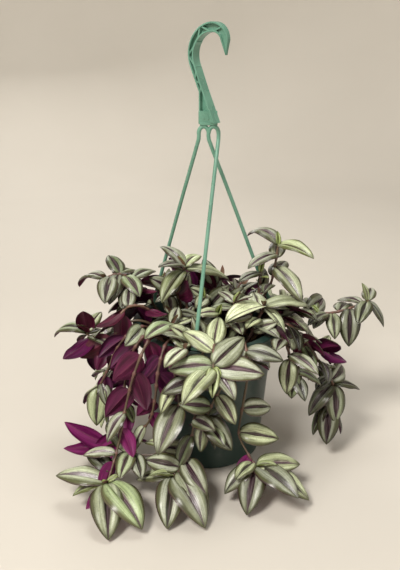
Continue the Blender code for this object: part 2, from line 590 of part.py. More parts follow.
def make_pot(plastic):
    under = POT_HEIGHT - LEDGE_THICKNESS
    band_inner = RIM_RADIUS - BAND_THICKNESS
    band_bottom = POT_HEIGHT - BAND_DEPTH
    profile = [
        (0, 0), (BASE_RADIUS - 2, 0), (wall_radius(1.5), 1.5), (wall_radius(under), under),
        (band_inner, under), (band_inner, band_bottom), (RIM_RADIUS, band_bottom),
        (RIM_RADIUS, POT_HEIGHT - 0.8), (RIM_RADIUS - 0.8, POT_HEIGHT),
        (WALL_TOP_RADIUS - WALL + 0.8, POT_HEIGHT), (WALL_TOP_RADIUS - WALL, POT_HEIGHT - 0.8),
        (wall_radius(BASE_THICKNESS) - WALL, BASE_THICKNESS), (0, BASE_THICKNESS),
    ]
    cutters = []
    for index in range(DRAIN_COUNT):
        out = toward(360 * index / DRAIN_COUNT + 15) * DRAIN_CIRCLE * MM
        ends = [out + mm(0, 0, -5), out + mm(0, 0, 8)]
        cutters.append(tube(ends, [DRAIN_RADIUS * MM] * 2, 10))
    for heading in STRAND_HEADINGS.values():
        out = toward(heading) * SLOT_RADIUS
        cutters.append(box((out.x, out.y, POT_HEIGHT - 1), (*SLOT_SIZE, 8), heading))
    return combined("pot", turned(profile, POT_SIDES), cutters, "DIFFERENCE", plastic)


def make_soil(peat):
    bottom = BASE_THICKNESS + GAP

    def reach(height):
        return wall_radius(height) - WALL - GAP

    profile = [(0, bottom), (reach(bottom) - 1, bottom), (reach(SOIL_TOP - 3) - 0.3, SOIL_TOP - 3),
               (reach(SOIL_TOP) - 4, SOIL_TOP), (0, SOIL_TOP)]
    return new_object("soil", turned(profile, SOIL_SIDES), peat)


# ---------------------------------------------------------------- hanger

def strand_points(name):
    """Centre line of a strand: down from the hub, straight to the rim, then down into its slot."""
    top = mm(STRAND_TOPS[name], 0, STRAND_TOP_Z)
    bend = mm(STRAND_TOPS[name], 0, STRAND_BEND_Z)
    foot = toward(STRAND_HEADINGS[name]) * SLOT_RADIUS * MM
    low = foot + mm(0, 0, POT_HEIGHT + 9)
    eased = bend.lerp(low, 0.04) + mm(0, 0, -1.5)
    return [top, bend, eased, bend.lerp(low, 0.35), bend.lerp(low, 0.7), bend.lerp(low, 0.97), low,
            foot + mm(0, 0, POT_HEIGHT + 2)]


def strand_end(name):
    """Shoulder, tab and barb that clip a strand's end into the rim."""
    heading = STRAND_HEADINGS[name]
    out = toward(heading) * SLOT_RADIUS
    under = POT_HEIGHT - LEDGE_THICKNESS
    return [
        box((out.x, out.y, POT_HEIGHT + GAP + 1.7), (5.6, 9.0, 3.4), heading),
        box((out.x, out.y, POT_HEIGHT - 1), (*TAB_SIZE, 9), heading),
        box((out.x, out.y, under - GAP - 1.5), (TAB_SIZE[0] - 0.4, BARB_WIDTH, 3.0), heading),
    ]


def hook_station(reach):
    """Outer edge, inner edge and depth of the hook, at a distance along it from its neck."""
    place, heading = mm(HOOK_NECK[0], 0, HOOK_NECK[1]), 90 + HOOK_LEAN
    width, depth = HOOK_NECK_WIDTH, HOOK_DEPTH
    left = max(reach, 0)
    for length, turn, end_width, end_depth in HOOK_RUNS.values():
        share = min(left / length, 1)
        half = math.radians(turn * share / 2)
        chord = length * share * (math.sin(half) / half if half else 1)
        way = math.radians(heading) - half
        place += mm(math.cos(way), 0, math.sin(way)) * chord
        heading -= turn * share
        width += (end_width - width) * share
        depth += (end_depth - depth) * share
        left = max(left - length, 0)
    side = math.radians(heading + 90)
    half_width = mm(math.cos(side), 0, math.sin(side)) * width / 2
    outer, inner = place + half_width, place - half_width
    if reach < 0:
        foot = Vector((outer.x, 0, HOOK_FOOT_Z * MM))
        outer = outer.lerp(foot, -reach / HOOK_FOOT)
        inner = inner.lerp(foot + mm(HOOK_FOOT_WIDTH, 0, 0), -reach / HOOK_FOOT)
    return outer, inner, depth * MM


def hook_turned(points):
    return [Matrix.Rotation(math.radians(HOOK_TURN), 3, "Z") @ point for point in points]


def hook_solid():
    """The hook's I-shaped section swept from the hub to the tip."""
    verts, faces = [], []
    reaches = [-HOOK_FOOT * (1 - k / FOOT_SECTIONS) for k in range(FOOT_SECTIONS)]
    reaches += [HOOK_LENGTH * k / HOOK_SECTIONS for k in range(HOOK_SECTIONS + 1)]
    sections = len(reaches)
    t = HOOK_WEB / 2 * MM
    for reach in reaches:
        outer, inner, depth = hook_station(reach)
        d = depth / 2
        width = (outer - inner).length
        way = (outer - inner) / width
        rim = min(HOOK_RIM * MM, width * 0.36)
        shape = [(0, -d), (rim, -d), (rim, -t), (width - rim, -t), (width - rim, -d), (width, -d),
                 (width, d), (width - rim, d), (width - rim, t), (rim, t), (rim, d), (0, d)]
        verts += [inner + way * s + Vector((0, y, 0)) for s, y in shape]
    size = 12
    for i in range(sections - 1):
        for k in range(size):
            a, b = i * size + k, i * size + (k + 1) % size
            faces.append((b, a, a + size, b + size))
    faces.append(tuple(range(size)))
    faces.append(tuple((sections - 1) * size + k for k in reversed(range(size))))
    return hook_turned(verts), faces


def rib_solid(start, end):
    """A rib across the hook's recess, from the inner rim at one place to the outer rim at another."""
    _, inner, depth = hook_station(start)
    outer, _, other_depth = hook_station(end)
    way = (outer - inner).normalized()
    across = Vector((0, 1, 0)).cross(way) * RIB_THICKNESS / 2 * MM
    a, b = inner + way * 1.2 * MM, outer - way * 1.2 * MM
    deep = Vector((0, min(depth, other_depth) / 2 - 0.7 * MM, 0))
    verts = [p + s * across + y * deep for p in (a, b) for s, y in ((-1, -1), (1, -1), (1, 1), (-1, 1))]
    faces = [(3, 2, 1, 0), (4, 5, 6, 7)] + [(k, (k + 1) % 4, 4 + (k + 1) % 4, 4 + k) for k in range(4)]
    return hook_turned(verts), faces


def rib_solids():
    """The zigzag of ribs, which starts at the outer rim."""
    pieces = []
    for k, (start, end) in enumerate(zip(RIB_PLACES, RIB_PLACES[1:])):
        pieces.append(rib_solid(start, end) if k % 2 else rib_solid(end, start))
    return pieces


def hub_solids():
    """Hub plate under the hook, the bar across its foot, and the yoke that the strands grow from."""
    middle = (STRAND_TOPS["front"] + STRAND_TOPS["back_left"]) / 2
    span = STRAND_TOPS["front"] - STRAND_TOPS["back_left"]
    pieces = [box((middle - 0.8, 0, 376), (span - 1, 4.4, 13)), box((middle, 0, 370), (span - 2, 6.2, 3.4))]
    for left, right in (("back_left", "back_right"), ("back_right", "front")):
        pieces.append(arch_solid(STRAND_TOPS[left], STRAND_TOPS[right]))
    return pieces


def arch_solid(x_left, x_right):
    """A small arch between two strands, under the hub plate."""
    centre, radius = (x_left + x_right) / 2, (x_right - x_left) / 2
    steps = 4
    points = [mm(centre - radius * math.cos(math.pi * k / steps), 0,
                 STRAND_BEND_Z + 4 + radius * 1.4 * math.sin(math.pi * k / steps)) for k in range(steps + 1)]
    return tube(points, [STRAND_RADIUS * 1.08 * MM] * len(points), STRAND_SIDES)


def make_hanger(plastic):
    pieces = hub_solids()
    for name in STRAND_HEADINGS:
        points = strand_points(name)
        pieces.append(tube(points, [STRAND_RADIUS * MM] * len(points), STRAND_SIDES))
        pieces += strand_end(name)
    pieces += rib_solids()
    return combined("hanger", hook_solid(), pieces, "UNION", plastic)


# ---------------------------------------------------------------- plant

class Obstacles:
    """What a new leaf has to stay clear of."""

    def __init__(self):
        self.items = []

    def add(self, solid, owner, kind):
        low = Vector([min(v[i] for v in solid[0]) for i in range(3)])
        high = Vector([max(v[i] for v in solid[0]) for i in range(3)])
        self.items.append((low, high, BVHTree.FromPolygons(*solid), owner, kind))

    def hit(self, solid, owner, with_own):
        low = Vector([min(v[i] for v in solid[0]) for i in range(3)])
        high = Vector([max(v[i] for v in solid[0]) for i in range(3)])
        tree = None
        for other_low, other_high, other_tree, other_owner, kind in self.items:
            if other_owner == owner and not (with_own and kind == "leaf"):
                continue
            if any(low[i] > other_high[i] or high[i] < other_low[i] for i in range(3)):
                continue
            tree = tree or BVHTree.FromPolygons(*solid)
            if tree.overlap(other_tree):
                return True
        return False


def inside_floor_or_soil(points):
    """Whether a point is under the standing plane, or in the soil or the pot's mouth."""
    for point in points:
        if point.z < FLOOR_GAP * MM:
            return True
        radius = math.hypot(point.x, point.y)
        if radius < (WALL_TOP_RADIUS - WALL) * MM and point.z < (SOIL_TOP + GAP) * MM:
            return True
    return False


def settled(leaf, owner, obstacles):
    """The leaf, turned or shortened just enough to clear what is already there, or None."""
    for with_own in (True, False):
        for heading, pitch, scale in NUDGES:
            candidate = leaf.turned(heading, pitch, scale)
            if inside_floor_or_soil(candidate.outline()):
                continue
            if obstacles.hit(candidate.solid(CLEARANCE * MM), owner, False):
                continue
            if with_own and obstacles.hit(candidate.solid(CLEARANCE * MM, 0.3), owner, True):
                continue
            return candidate
    return None


def place_shoots(pot, hanger):
    """Every shoot's route with the leaves that found room, the wished ones of all shoots first."""
    obstacles = Obstacles()
    for obj in (pot, hanger):
        solid = ([v.co.copy() for v in obj.data.vertices], [tuple(p.vertices) for p in obj.data.polygons])
        obstacles.add(solid, obj.name, "made")
    shoots = all_shoots()
    for name, route, _, _ in shoots:
        obstacles.add(stem_solid(route), name, "stem")
    placed = {name: (route, []) for name, route, _, _ in shoots}
    for turn in ("wished", "filling"):
        for name, _, wished, filling in shoots:
            for leaf in (wished if turn == "wished" else filling):
                found = settled(leaf, name, obstacles)
                if found:
                    obstacles.add(found.solid(), name, "own")
                    obstacles.add(found.solid(0.0, 0.3), name, "leaf")
                    placed[name][1].append(found)
    return placed


def make_shoot(name, route, leaves, green):
    return combined(name, stem_solid(route), [leaf.solid() for leaf in leaves], "UNION", green)


def build():
    for obj in list(bpy.data.objects):
        bpy.data.objects.remove(obj, do_unlink=True)
    pot = make_pot(material("pot_plastic", (0.02, 0.07, 0.06), 0.42))
    make_soil(material("peat", (0.035, 0.022, 0.014), 0.95))
    hanger = make_hanger(material("hanger_plastic", (0.16, 0.42, 0.30), 0.45))
    green = material("foliage", (0.30, 0.42, 0.24), 0.45)
    for name, (route, leaves) in place_shoots(pot, hanger).items():
        make_shoot(name, route, leaves, green)


build()
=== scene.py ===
"""Looks of a potted tradescantia in a plastic hanging basket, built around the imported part.

Metres, +Z up, in the part's frame: the origin is under the middle of the pot.
The shoots' tables are those of the part, in millimetres and degrees; MM turns them into metres.
A heading is counted from +X towards +Y, so -90 is the front of the object.
"""
import math
import random
from itertools import combinations

import bmesh
import bpy
from mathutils import Matrix, Vector, noise
from mathutils.bvhtree import BVHTree
from mathutils.kdtree import KDTree

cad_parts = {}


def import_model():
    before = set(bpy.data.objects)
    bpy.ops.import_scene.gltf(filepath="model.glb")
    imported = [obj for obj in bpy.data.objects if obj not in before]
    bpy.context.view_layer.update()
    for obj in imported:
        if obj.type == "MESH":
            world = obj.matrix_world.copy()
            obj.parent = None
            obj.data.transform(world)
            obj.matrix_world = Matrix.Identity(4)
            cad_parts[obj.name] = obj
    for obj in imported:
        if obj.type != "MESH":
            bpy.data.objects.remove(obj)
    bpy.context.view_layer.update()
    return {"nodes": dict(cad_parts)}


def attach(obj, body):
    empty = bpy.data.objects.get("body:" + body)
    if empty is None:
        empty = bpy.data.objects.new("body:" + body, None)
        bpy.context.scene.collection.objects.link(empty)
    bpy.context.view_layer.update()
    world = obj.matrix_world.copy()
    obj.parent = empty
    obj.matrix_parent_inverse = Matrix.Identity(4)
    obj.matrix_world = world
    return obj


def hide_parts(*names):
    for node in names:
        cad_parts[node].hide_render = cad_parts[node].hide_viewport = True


MM = 0.001
GAP = 0.3

# Pot, soil and hanger: the part's driving sizes, and how finely they are divided
POT_HEIGHT = 155.0
RIM_RADIUS = 82.5
BASE_RADIUS = 61.5
WALL_TOP_RADIUS = 74.6
WALL = 1.4
BASE_THICKNESS = 1.6
LEDGE_THICKNESS = 2.4
BAND_DEPTH = 14.0
BAND_THICKNESS = 1.5
POT_SIDES = 144
DRAIN_RADIUS = 4.5
DRAIN_CIRCLE = 42.0
DRAIN_COUNT = 6
DRAIN_TURN = 15.0               # heading of the first drain hole
DRAIN_SIDES, ROUND_SIDES = 24, 16
POT_FILLET = 0.7
SLOT_RADIUS = (WALL_TOP_RADIUS + RIM_RADIUS - BAND_THICKNESS) / 2
SLOT_SIZE = (3.8, 6.2)
SOIL_TOP = 138.5
SOIL_RINGS, SOIL_SIDES = 44, 132
SOIL_SEED, CRUMBS = 7, 520
SOIL_SINK, SOIL_ROUGHNESS = 1.2, 1.5    # of the uneven top, against the part's flat one
STRAND_RADIUS = 2.0
STRAND_SAMPLES = 6              # to a span
ARCH_STEPS = 16
STRAND_HEADINGS = {"front": -99.0, "back_left": 141.0, "back_right": 21.0}
STRAND_TOPS = {"front": 11.0, "back_left": -9.0, "back_right": 1.0}
STRAND_TOP_Z = 361.0
STRAND_BEND_Z = 356.0
TAB_SIZE = (3.0, 5.2)
BARB_WIDTH = 9.0
HOOK_TURN = -38.0               # heading of the hook's plane
HOOK_WEB = 1.8
HOOK_RIM = 1.7
HOOK_LEAN = 24.0                # how far the shaft leans back from upright
HOOK_FOOT = 30.0                # length of the foot, which widens from the neck down to the hub
HOOK_FOOT_Z = 371.3
HOOK_FOOT_WIDTH = 19.5
HOOK_NECK = (-5.0, 401.6)       # middle of the neck on top of the foot, where the shaft starts
HOOK_NECK_WIDTH = 5.2
HOOK_DEPTH = 11.0               # at the foot and the neck
RIB_THICKNESS = 1.5
FOOT_SECTIONS, HOOK_SECTIONS = 12, 110
CHAMFER = 0.35

# The hook above its foot: each run's length and turn, then the width and depth where it ends
HOOK_RUNS = {
    "shaft": (26.0, 0.0, 6.0, 11.0),
    "limb": (51.0, 114.0, 9.4, 9.5),
    "crown": (19.5, 85.0, 8.4, 5.0),
    "point": (13.5, 0.0, 1.0, 3.0),
}
HOOK_LENGTH = sum(run[0] for run in HOOK_RUNS.values())

# Distances from the neck at which the zigzag of ribs meets the outer and the inner rim in turn
RIB_PLACES = (-7.0, 6.0, 12.0, 22.0, 36.0, 53.0, 64.0, 76.0, 86.0)

# Shoots: the part's driving sizes and seeds
STEM_STEPS = 2
STEM_ROOT_RADIUS = 2.0
STEM_TIP_RADIUS = 1.2
STEM_START = SOIL_TOP + GAP
LEAF_RINGS = (0.22, 0.62)
CURLED_RINGS = (0.16, 0.42, 0.74)
CURLED_BEND = 60.0
LEAF_BEND = 32.0
LEAF_FOLD = 13.0
YOUNG_FOLD = 48.0
YOUNG_BEND = 12.0
YOUNG_LENGTH = 20.0
YOUNG = (0.0, YOUNG_BEND, YOUNG_FOLD)   # roll, bend and fold
RANKED_LENGTHS = (36.0, 52.0)
RANKED_BENDS = (22.0, 52.0)
RANKED_FOLDS = (8.0, 18.0)
RANKED_STRETCH = 0.74
LEAF_BREADTH = 0.29
FILL_START = 1.1
FILL_STEP = 0.5
FILL_ROOM = 0.24
FILL_LENGTHS = (34.0, 48.0)
FILLING_SEED, TRAILING_SEED, UPRIGHT_SEED = 300, 100, 200
SPLINE_STEP = 0.02              # either side of a place, to find the direction there
TIP_OVERLAP = 1.6

# Fine shape of a leaf
LOOK_SEED = 500
ROWS = 20                       # cross-sections from base to tip
HALF_COLUMNS = 6                # faces from the midrib to an edge
BULGE = 0.17                    # rise of each half between midrib and edge, over the half-width
EDGE_DROOP = 0.15
GROOVE_DEPTH = 0.60             # midrib groove
GROOVE_WIDTH = 0.09
WAVE = 0.045                    # waviness of the edges, over the half-width
SHELL = 0.8                     # thickness beside the midrib
BLADE_SHARP = 62                # degrees between faces, past which an edge stays sharp
TWIST = 9                       # degrees between base and tip, either way
YOUNG_BELOW = 27.0              # leaves shorter than this look younger
YOUNG_SPAN = 12.0               # and those shorter still by this look wholly young
FOLDED = 25.0                   # leaves folded more than this look younger
FOLDED_AGE = 0.35               # by this much
PROBE_ROWS, PROBE_COLUMNS = 14, 8
PROBE_START = 0.10              # leaves meet at their bases, so the probe starts here
PROBE_HALF = 0.45
CALM_ROUNDS = 5
CALMING = 0.7                   # what a leaf that cuts another keeps of its curves, each round
MATCH = 0.06                    # how near a point of the part a leaf's point must be, to be that leaf

# Fine shape of a stem
STEM_STEP = 1.5
STEM_SLIMNESS = 0.82            # radius over that of the part's plain tube
STEM_SIDES = 10
STREAKS_PER_METRE = 20
SPAN_SAMPLES = 24               # samples to a span, before they are spaced evenly
NODE_APART = 4.0                # the least distance between two nodes
ROOT_DEPTH = 6.0                # how far a stem goes down into the soil
NODE_SWELL = 0.38               # swelling at a node, over the radius
NODE_SPAN = 2.0
SHEATH_LENGTH = 7.0
SHEATH_THICKNESS = 0.35

# Turns (heading, pitch) and scales that the part tries in order, until a leaf clears what is there
NUDGES = [(0, 0, 1.0)]
for _size, _scale in ((7, 1.0), (14, 1.0), (22, 0.94), (32, 0.86), (44, 0.76)):
    for _way in (90, 270, 0, 180, 45, 135, 315, 225):
        _heading, _pitch = math.cos(math.radians(_way)), math.sin(math.radians(_way))
        NUDGES.append((_heading * _size, _pitch * _size, _scale))

# Each shoot, its node without "shoot_": the points of its stem, then its leaves.
# A leaf: place along the stem (in points), heading and pitch of its chord, length, then where they
# differ from the usual: roll about its own axis, bend from base to tip, fold along the midrib.
SHOOTS = {
    # the big rosette over the middle of the front rim
    "front_rosette": (
        [(4, -40, 139), (6, -66, 161), (6, -88, 165), (5, -104, 147)],
        [(3, 8, -12, 54, 34), (3, -129, -24, 52), (3, -92, -30, 34, 0, 14, 42), (2.9, 44, 20, 48, 34),
         (2.9, 168, -16, 46, -34), (3, -50, -34, 40), (3, -60, -10, 16, *YOUNG),
         (2.3, 140, 14, 40, -20), (2, 80, 24, 38)]),
    # the pale spreading rosette right of the middle
    "middle_right": (
        [(38, -42, 139), (48, -38, 158), (57, -30, 174), (61, -26, 183)],
        [(3, -142, -27, 58, 0, 28, 24), (3, 12, -6, 54, 0, 50), (2.8, 42, -66, 46, 180, 24),
         (2.9, -24, -54, 38), (2.6, 24, -12, 38), (3, -100, 42, 16, *YOUNG),
         (1.4, -42, -10, 34), (2.2, 100, 16, 38), (1.8, -120, 0, 30)]),
    # the tall shoot behind the right of the rim
    "tall_right": (
        [(40, 12, 139), (54, 14, 162), (70, 13, 190), (75, 14, 214), (77, 15, 229), (78, 16, 238)],
        [(5, 140, 3, 48, 0, 105), (5, -38, -8, 46, 12, 30, 30), (5, 95, 65, 16, 0, 10, YOUNG_FOLD),
         (3.9, -145, -12, 42), (3, -52, -33, 52), (2.1, -124, -13, 32), (2.5, 60, 10, 38),
         (1.3, 70, -10, 34), (3.6, 80, 20, 34)]),
    "inner_right": (
        [(40, -10, 139), (50, -2, 162), (58, 8, 188), (59, 10, 208)],
        [(3, -146, -9, 31), (2.4, 150, -46, 28), (1.8, -137, -2, 30, 180), (2.7, -50, 12, 14),
         (3, 70, 40, 18, 0, 15, YOUNG_FOLD), (1.2, -20, -5, 26)]),
    "inner_middle": (
        [(20, -34, 139), (26, -30, 165), (29, -26, 187)],
        [(2, 132, 12, 27), (1.5, 134, -2, 24, 180), (1.7, 156, -18, 38), (1.9, -30, 18, 26),
         (2, 20, 60, 15, *YOUNG), (0.9, -150, 0, 30), (1.1, -70, -6, 30)]),
    # the upright shoot above the middle left
    "tall_left": (
        [(-16, -8, 139), (-21, 0, 165), (-25, 5, 192), (-25, 9, 215)],
        [(3, 124, 28, 42, 0, 62), (3, -138, 13, 38), (2.8, 132, 4, 34), (3, 57, 4, 36, 0, 66),
         (2.9, 10, -17, 54), (2.8, -125, -31, 48, 0, 26, 30), (2.4, 155, -20, 28, 180),
         (3, -170, 62, 16, *YOUNG), (1.5, -20, 6, 32), (1.2, 100, 0, 34), (1.9, 60, -12, 34)]),
    "low_left": (
        [(-36, -22, 139), (-38, -16, 154), (-39, -12, 168)],
        [(2, -31, 7, 37), (1.8, -60, -22, 34), (1.5, -150, -8, 27), (2, 100, 32, 30),
         (1.2, 20, 4, 30), (2, -150, 58, 14, *YOUNG)]),
    # the long shoot that arches out over the upper left
    "upper_left": (
        [(-50, 12, 139), (-62, 16, 170), (-80, 17, 193), (-98, 16, 203), (-115, 14, 197)],
        [(4, 152, -24, 44, 0, 92), (4, 75, -64, 34), (3.6, -93, -25, 42, 0, 24), (3.3, 58, -12, 40),
         (2.3, 53, -3, 42), (2.7, -60, -18, 40), (2.3, 70, -58, 26), (1.7, -48, 8, 28, 180),
         (3.0, 120, 20, 36), (1.9, 130, 4, 36), (3.1, -104, -30, 40, 0, 24),
         (2, -112, -24, 42), (4, -110, 40, 15, *YOUNG)]),
    "left_inner": (
        [(-46, -2, 139), (-56, -10, 163), (-70, -18, 178), (-84, -23, 180), (-93, -28, 173)],
        [(2.1, 104, -66, 48), (1.7, -49, 8, 34, 180), (4, 60, -77, 50), (3.0, 152, -30, 34),
         (3.6, -150, -20, 36, 180), (2.6, 60, -62, 40), (3.2, 90, 4, 32)]),
    # the outer left shoot whose dark undersides face the front
    "outer_left": (
        [(-46, -18, 139), (-60, -21, 158), (-80, -22, 163), (-98, -20, 148), (-112, -14, 134),
         (-124, -8, 132), (-136, -2, 140)],
        [(6, -88, 64, 38), (6, -110, 43, 26), (6, 166, -14, 46, 0, 98), (5.8, 138, -47, 26, 0, 70),
         (5.5, -124, -10, 46, 180, 24), (5, 137, -80, 40), (5.7, -40, -5, 34), (5.9, 56, -14, 30),
         (6, 62, 26, 34), (4.4, 40, 10, 36), (4.2, -110, -50, 34, 180)]),
    "left_front": (
        [(-28, -30, 139), (-32, -36, 154), (-37, -42, 169)],
        [(2, -126, 0, 46), (1.8, 30, 12, 32), (1.6, -40, -12, 32), (2, 110, 20, 32),
         (1.2, 170, 2, 34, 180), (2, -20, 62, 14, *YOUNG)]),
    "left_hanging": (
        [(-48, -24, 139), (-61, -30, 158), (-77, -39, 161), (-94, -45, 144), (-106, -46, 118),
         (-117, -46, 95)],
        [(3.5, 76, -68, 42), (5, 150, -52, 38), (5, -102, -68, 44), (4.8, -60, -55, 28),
         (4.9, 50, -55, 28), (4.2, 130, -20, 34), (4.4, -90, -60, 30, 180), (5, -170, -70, 22)]),
    "left_low": (
        [(-40, -34, 139), (-51, -44, 158), (-66, -57, 161), (-80, -62, 140), (-86, -58, 115), (-89, -56, 92),
         (-88, -54, 76)],
        [(3.8, 57, -73, 44), (6, 105, -80, 38), (5.9, -80, -58, 34, 180), (5, -150, -40, 34),
         (4.6, 20, -60, 32, 180), (5.5, 170, -30, 32, 180), (6, -40, -66, 22)]),
    # the shoot that ends in a pair of magenta undersides low on the left
    "magenta_pair": (
        [(-30, -39, 139), (-35, -60, 158), (-43, -77, 160), (-50, -89, 136), (-54, -88, 104), (-62, -84, 74),
         (-84, -76, 50), (-108, -64, 33)],
        [(7, 172, 27, 55, 180, 14), (7, -160, 8, 50, 180, 14), (7, -120, -38, 34, 180),
         (6.5, 100, 15, 34), (3.5, 30, -75, 36), (5.2, -140, -60, 30), (5.8, 60, -40, 30, 180)]),
    # the long trail with the big hanging leaf and the small rosette at its end
    "front_trail": (
        [(-22, -46, 139), (-26, -62, 158), (-32, -81, 160), (-33, -92, 138), (-29, -92, 99), (-37, -95, 66),
         (-52, -98, 47), (-68, -98, 44), (-82, -96, 46)],
        [(4, -119, -40, 56, 0, 24), (8, 128, 20, 43), (8, -142, 8, 30), (8, -117, -14, 36),
         (7.6, -72, -22, 32), (5.6, 150, -10, 26), (8, -50, 30, 14, *YOUNG),
         (3.4, -150, -50, 34)]),
    "floor_left": (
        [(-36, -40, 139), (-46, -51, 158), (-60, -65, 160), (-74, -79, 132), (-84, -86, 96), (-92, -102, 58),
         (-99, -118, 36), (-102, -128, 30)],
        [(7, 168, 0, 56), (7, -172, -20, 38, 0, 26, 26), (7, -83, -27, 61, 0, 44), (7, -49, -27, 64, 0, 46),
         (7, 20, 24, 16), (6.8, -136, -34, 34, 180, 10), (6, 140, 10, 38), (5.3, 175, -30, 38),
         (4.2, -140, -50, 36), (7, -110, 36, 13, *YOUNG)]),
    "floor_front": (
        [(-2, -48, 139), (-2, -66, 158), (-4, -86, 160), (-9, -94, 134), (-13, -95, 88), (-19, -100, 54),
         (-28, -110, 37), (-35, -118, 31)],
        [(7, 166, -17, 44), (7, -160, 14, 28, 0, 20, 34), (7, -97, -31, 56, 0, 44), (7, -56, -26, 64, 0, 46),
         (6.4, -50, -30, 58, 0, 44), (6.7, 68, -4, 27), (4.6, -140, -62, 40), (3.6, 150, -40, 34)]),
    # the pink stem down the front right and its rosette on the floor
    "floor_right": (
        [(26, -46, 139), (31, -62, 158), (38, -80, 160), (40, -91, 134), (36, -89, 96), (33, -89, 64),
         (42, -98, 46), (51, -107, 35)],
        [(7, 8, -3, 48, 20), (7, -20, 14, 24, 0, 16, 36), (6.7, -128, -5, 33), (7, -106, -37, 52, 0, 40),
         (7, -24, -23, 64, 0, 30), (7, -46, -23, 58, 0, 34), (6.8, -148, -32, 44), (5, 2, -12, 44, 42),
         (4.1, 30, -14, 38, 44), (6.2, -140, -50, 32, 180, 10),
         (2.2, -20, -8, 40, 24), (1.8, -140, -4, 38, -24), (2.6, 36, -34, 36)]),
    "front_low": (
        [(13, -47, 139), (16, -66, 158), (19, -86, 159), (16, -95, 130), (4, -96, 102), (-4, -94, 79)],
        [(5, 150, -10, 34), (5, 34, 6, 37), (5, -52, -19, 36), (5, -128, -58, 36), (4.9, -20, -70, 34),
         (5, -100, 40, 13, *YOUNG)]),
    "front_left_rosette": (
        [(-15, -44, 139), (-18, -64, 159), (-23, -84, 159)],
        [(2, -124, -10, 36), (2, 36, 8, 34), (1.9, 72, 22, 30), (2, 138, 8, 26), (1.4, -160, 6, 34),
         (2, -70, 50, 13, *YOUNG)]),
    "right_rim": (
        [(46, -28, 139), (58, -38, 158), (74, -47, 160), (84, -52, 146), (88, -54, 130), (94, -56, 112)],
        [(3.6, -48, -12, 41), (3.9, -104, -66, 38), (4.2, -86, -66, 38), (5, -70, -58, 32),
         (4.6, 0, -30, 36), (3.2, 40, 0, 34), (5, 60, -50, 28, 180), (2.6, -110, 10, 34)]),
    # the long shoot that reaches out to the right
    "far_right": (
        [(52, 0, 139), (65, 0, 158), (86, 1, 164), (110, 5, 162), (135, 9, 158), (160, 12, 163),
         (182, 14, 172)],
        [(5.7, 134, -11, 35), (6, 140, 66, 22), (6, -24, -54, 36), (6, -118, -28, 36), (5.1, -96, -62, 44),
         (4.1, -141, -11, 33), (4.3, -88, -46, 32), (4, -128, -20, 28), (3.7, 150, 36, 16),
         (5.6, 60, -78, 24), (4.6, 60, 0, 38), (3.4, 90, 4, 38), (2.7, -60, 2, 34), (6, 70, 10, 30)]),
    "right_purple": (
        [(50, -8, 139), (66, -10, 158), (86, -12, 160), (99, -12, 142), (108, -11, 127), (118, -10, 122),
         (130, -10, 123)],
        [(6, -50, -4, 36, 180), (6, 33, -58, 28), (3.2, 65, -78, 33), (5, 110, 10, 30), (4.1, -60, -40, 30),
         (6, 60, 20, 24)]),
    "right_hanging": (
        [(50, -16, 139), (65, -22, 158), (86, -28, 161), (104, -28, 146), (122, -27, 118), (134, -26, 99),
         (141, -25, 85), (139, -25, 60)],
        [(6, 114, 12, 35), (6, 16, -19, 37), (6, -150, -44, 45), (6, -78, -71, 44), (7, -172, -66, 44),
         (7, -104, -70, 46), (7, -6, -70, 42), (5.3, -130, -10, 28), (4.6, 60, -10, 36),
         (6.6, 80, -50, 36)]),
}

# Listed shoots that stay bare between their leaves, so that the pot shows beside them
BARE_SHOOTS = ("floor_right", "front_rosette", "front_trail", "tall_right")
# Listed shoots whose ruled leaves hang with their undersides to the front
TURNED_SHOOTS = ("outer_left", "left_hanging", "left_low", "left_inner",
                 "left_front", "magenta_pair", "floor_left")

# Shoots that trail over the rim round the back and sides: heading, reach, height of the tip above the
# standing plane, number of leaves
TRAILING = {
    "back_1": (37, 138, 96, 8), "back_2": (53, 118, 40, 9), "back_3": (70, 150, 120, 8),
    "back_4": (86, 112, 22, 10), "back_5": (103, 136, 84, 8), "back_6": (120, 120, 46, 9),
    "back_7": (157, 128, 66, 8), "back_8": (172, 116, 30, 9),
    "side_right": (10, 116, 60, 7),
}

# Short upright shoots that fill the crown: x, y of the root, lean heading, height, number of leaves
UPRIGHT = {
    "crown_1": (2, 22, 60, 48, 6), "crown_2": (-30, 34, 150, 40, 6),
    "crown_3": (26, 26, 50, 44, 6), "crown_4": (-4, 52, 100, 36, 5),
    "crown_5": (24, 4, 10, 30, 5), "crown_6": (-6, -24, 170, 26, 5),
    "crown_7": (9, -13, -80, 40, 6), "crown_8": (-27, 12, -110, 52, 7),
    "crown_9": (32, -24, -50, 40, 6), "crown_10": (0, 5, -95, 50, 7),
}
# Shoots whose low undersides, in more light, are of a brighter magenta
VIVID_SHOOTS = ("magenta_pair", "left_low", "left_hanging", "floor_left", "floor_right")
VIVID_TOP = 110.0               # height of a leaf's base where the magenta starts
VIVID_SPAN = 25.0               # and how far below that it is full
# Painted shade on each shoot's leaves: how much duller and darker than plain they are drawn, or painted
# light, brighter, where it is negative
PAINTED_SHADE = {
    "right_hanging": 1.15, "right_rim": 0.4, "far_right": 0.6, "tall_right": 0.45,
    "upper_left": 0.6, "tall_left": 0.1, "outer_left": 0.5, "inner_right": 0.3,
    "front_trail": 0.2, "front_low": 0.5, "left_hanging": 0.3, "low_left": 0.4,
    "floor_left": 0.4, "floor_front": 0.5, "floor_right": 0.3, "middle_right": -0.55,
    **{f"crown_{k}": 0.25 for k in range(1, 11)},
    **{f"back_{k}": 0.2 for k in range(1, 9)},
}


# ---------------------------------------------------------------- vectors and routes

def mm(*values):
    return Vector(values) * MM


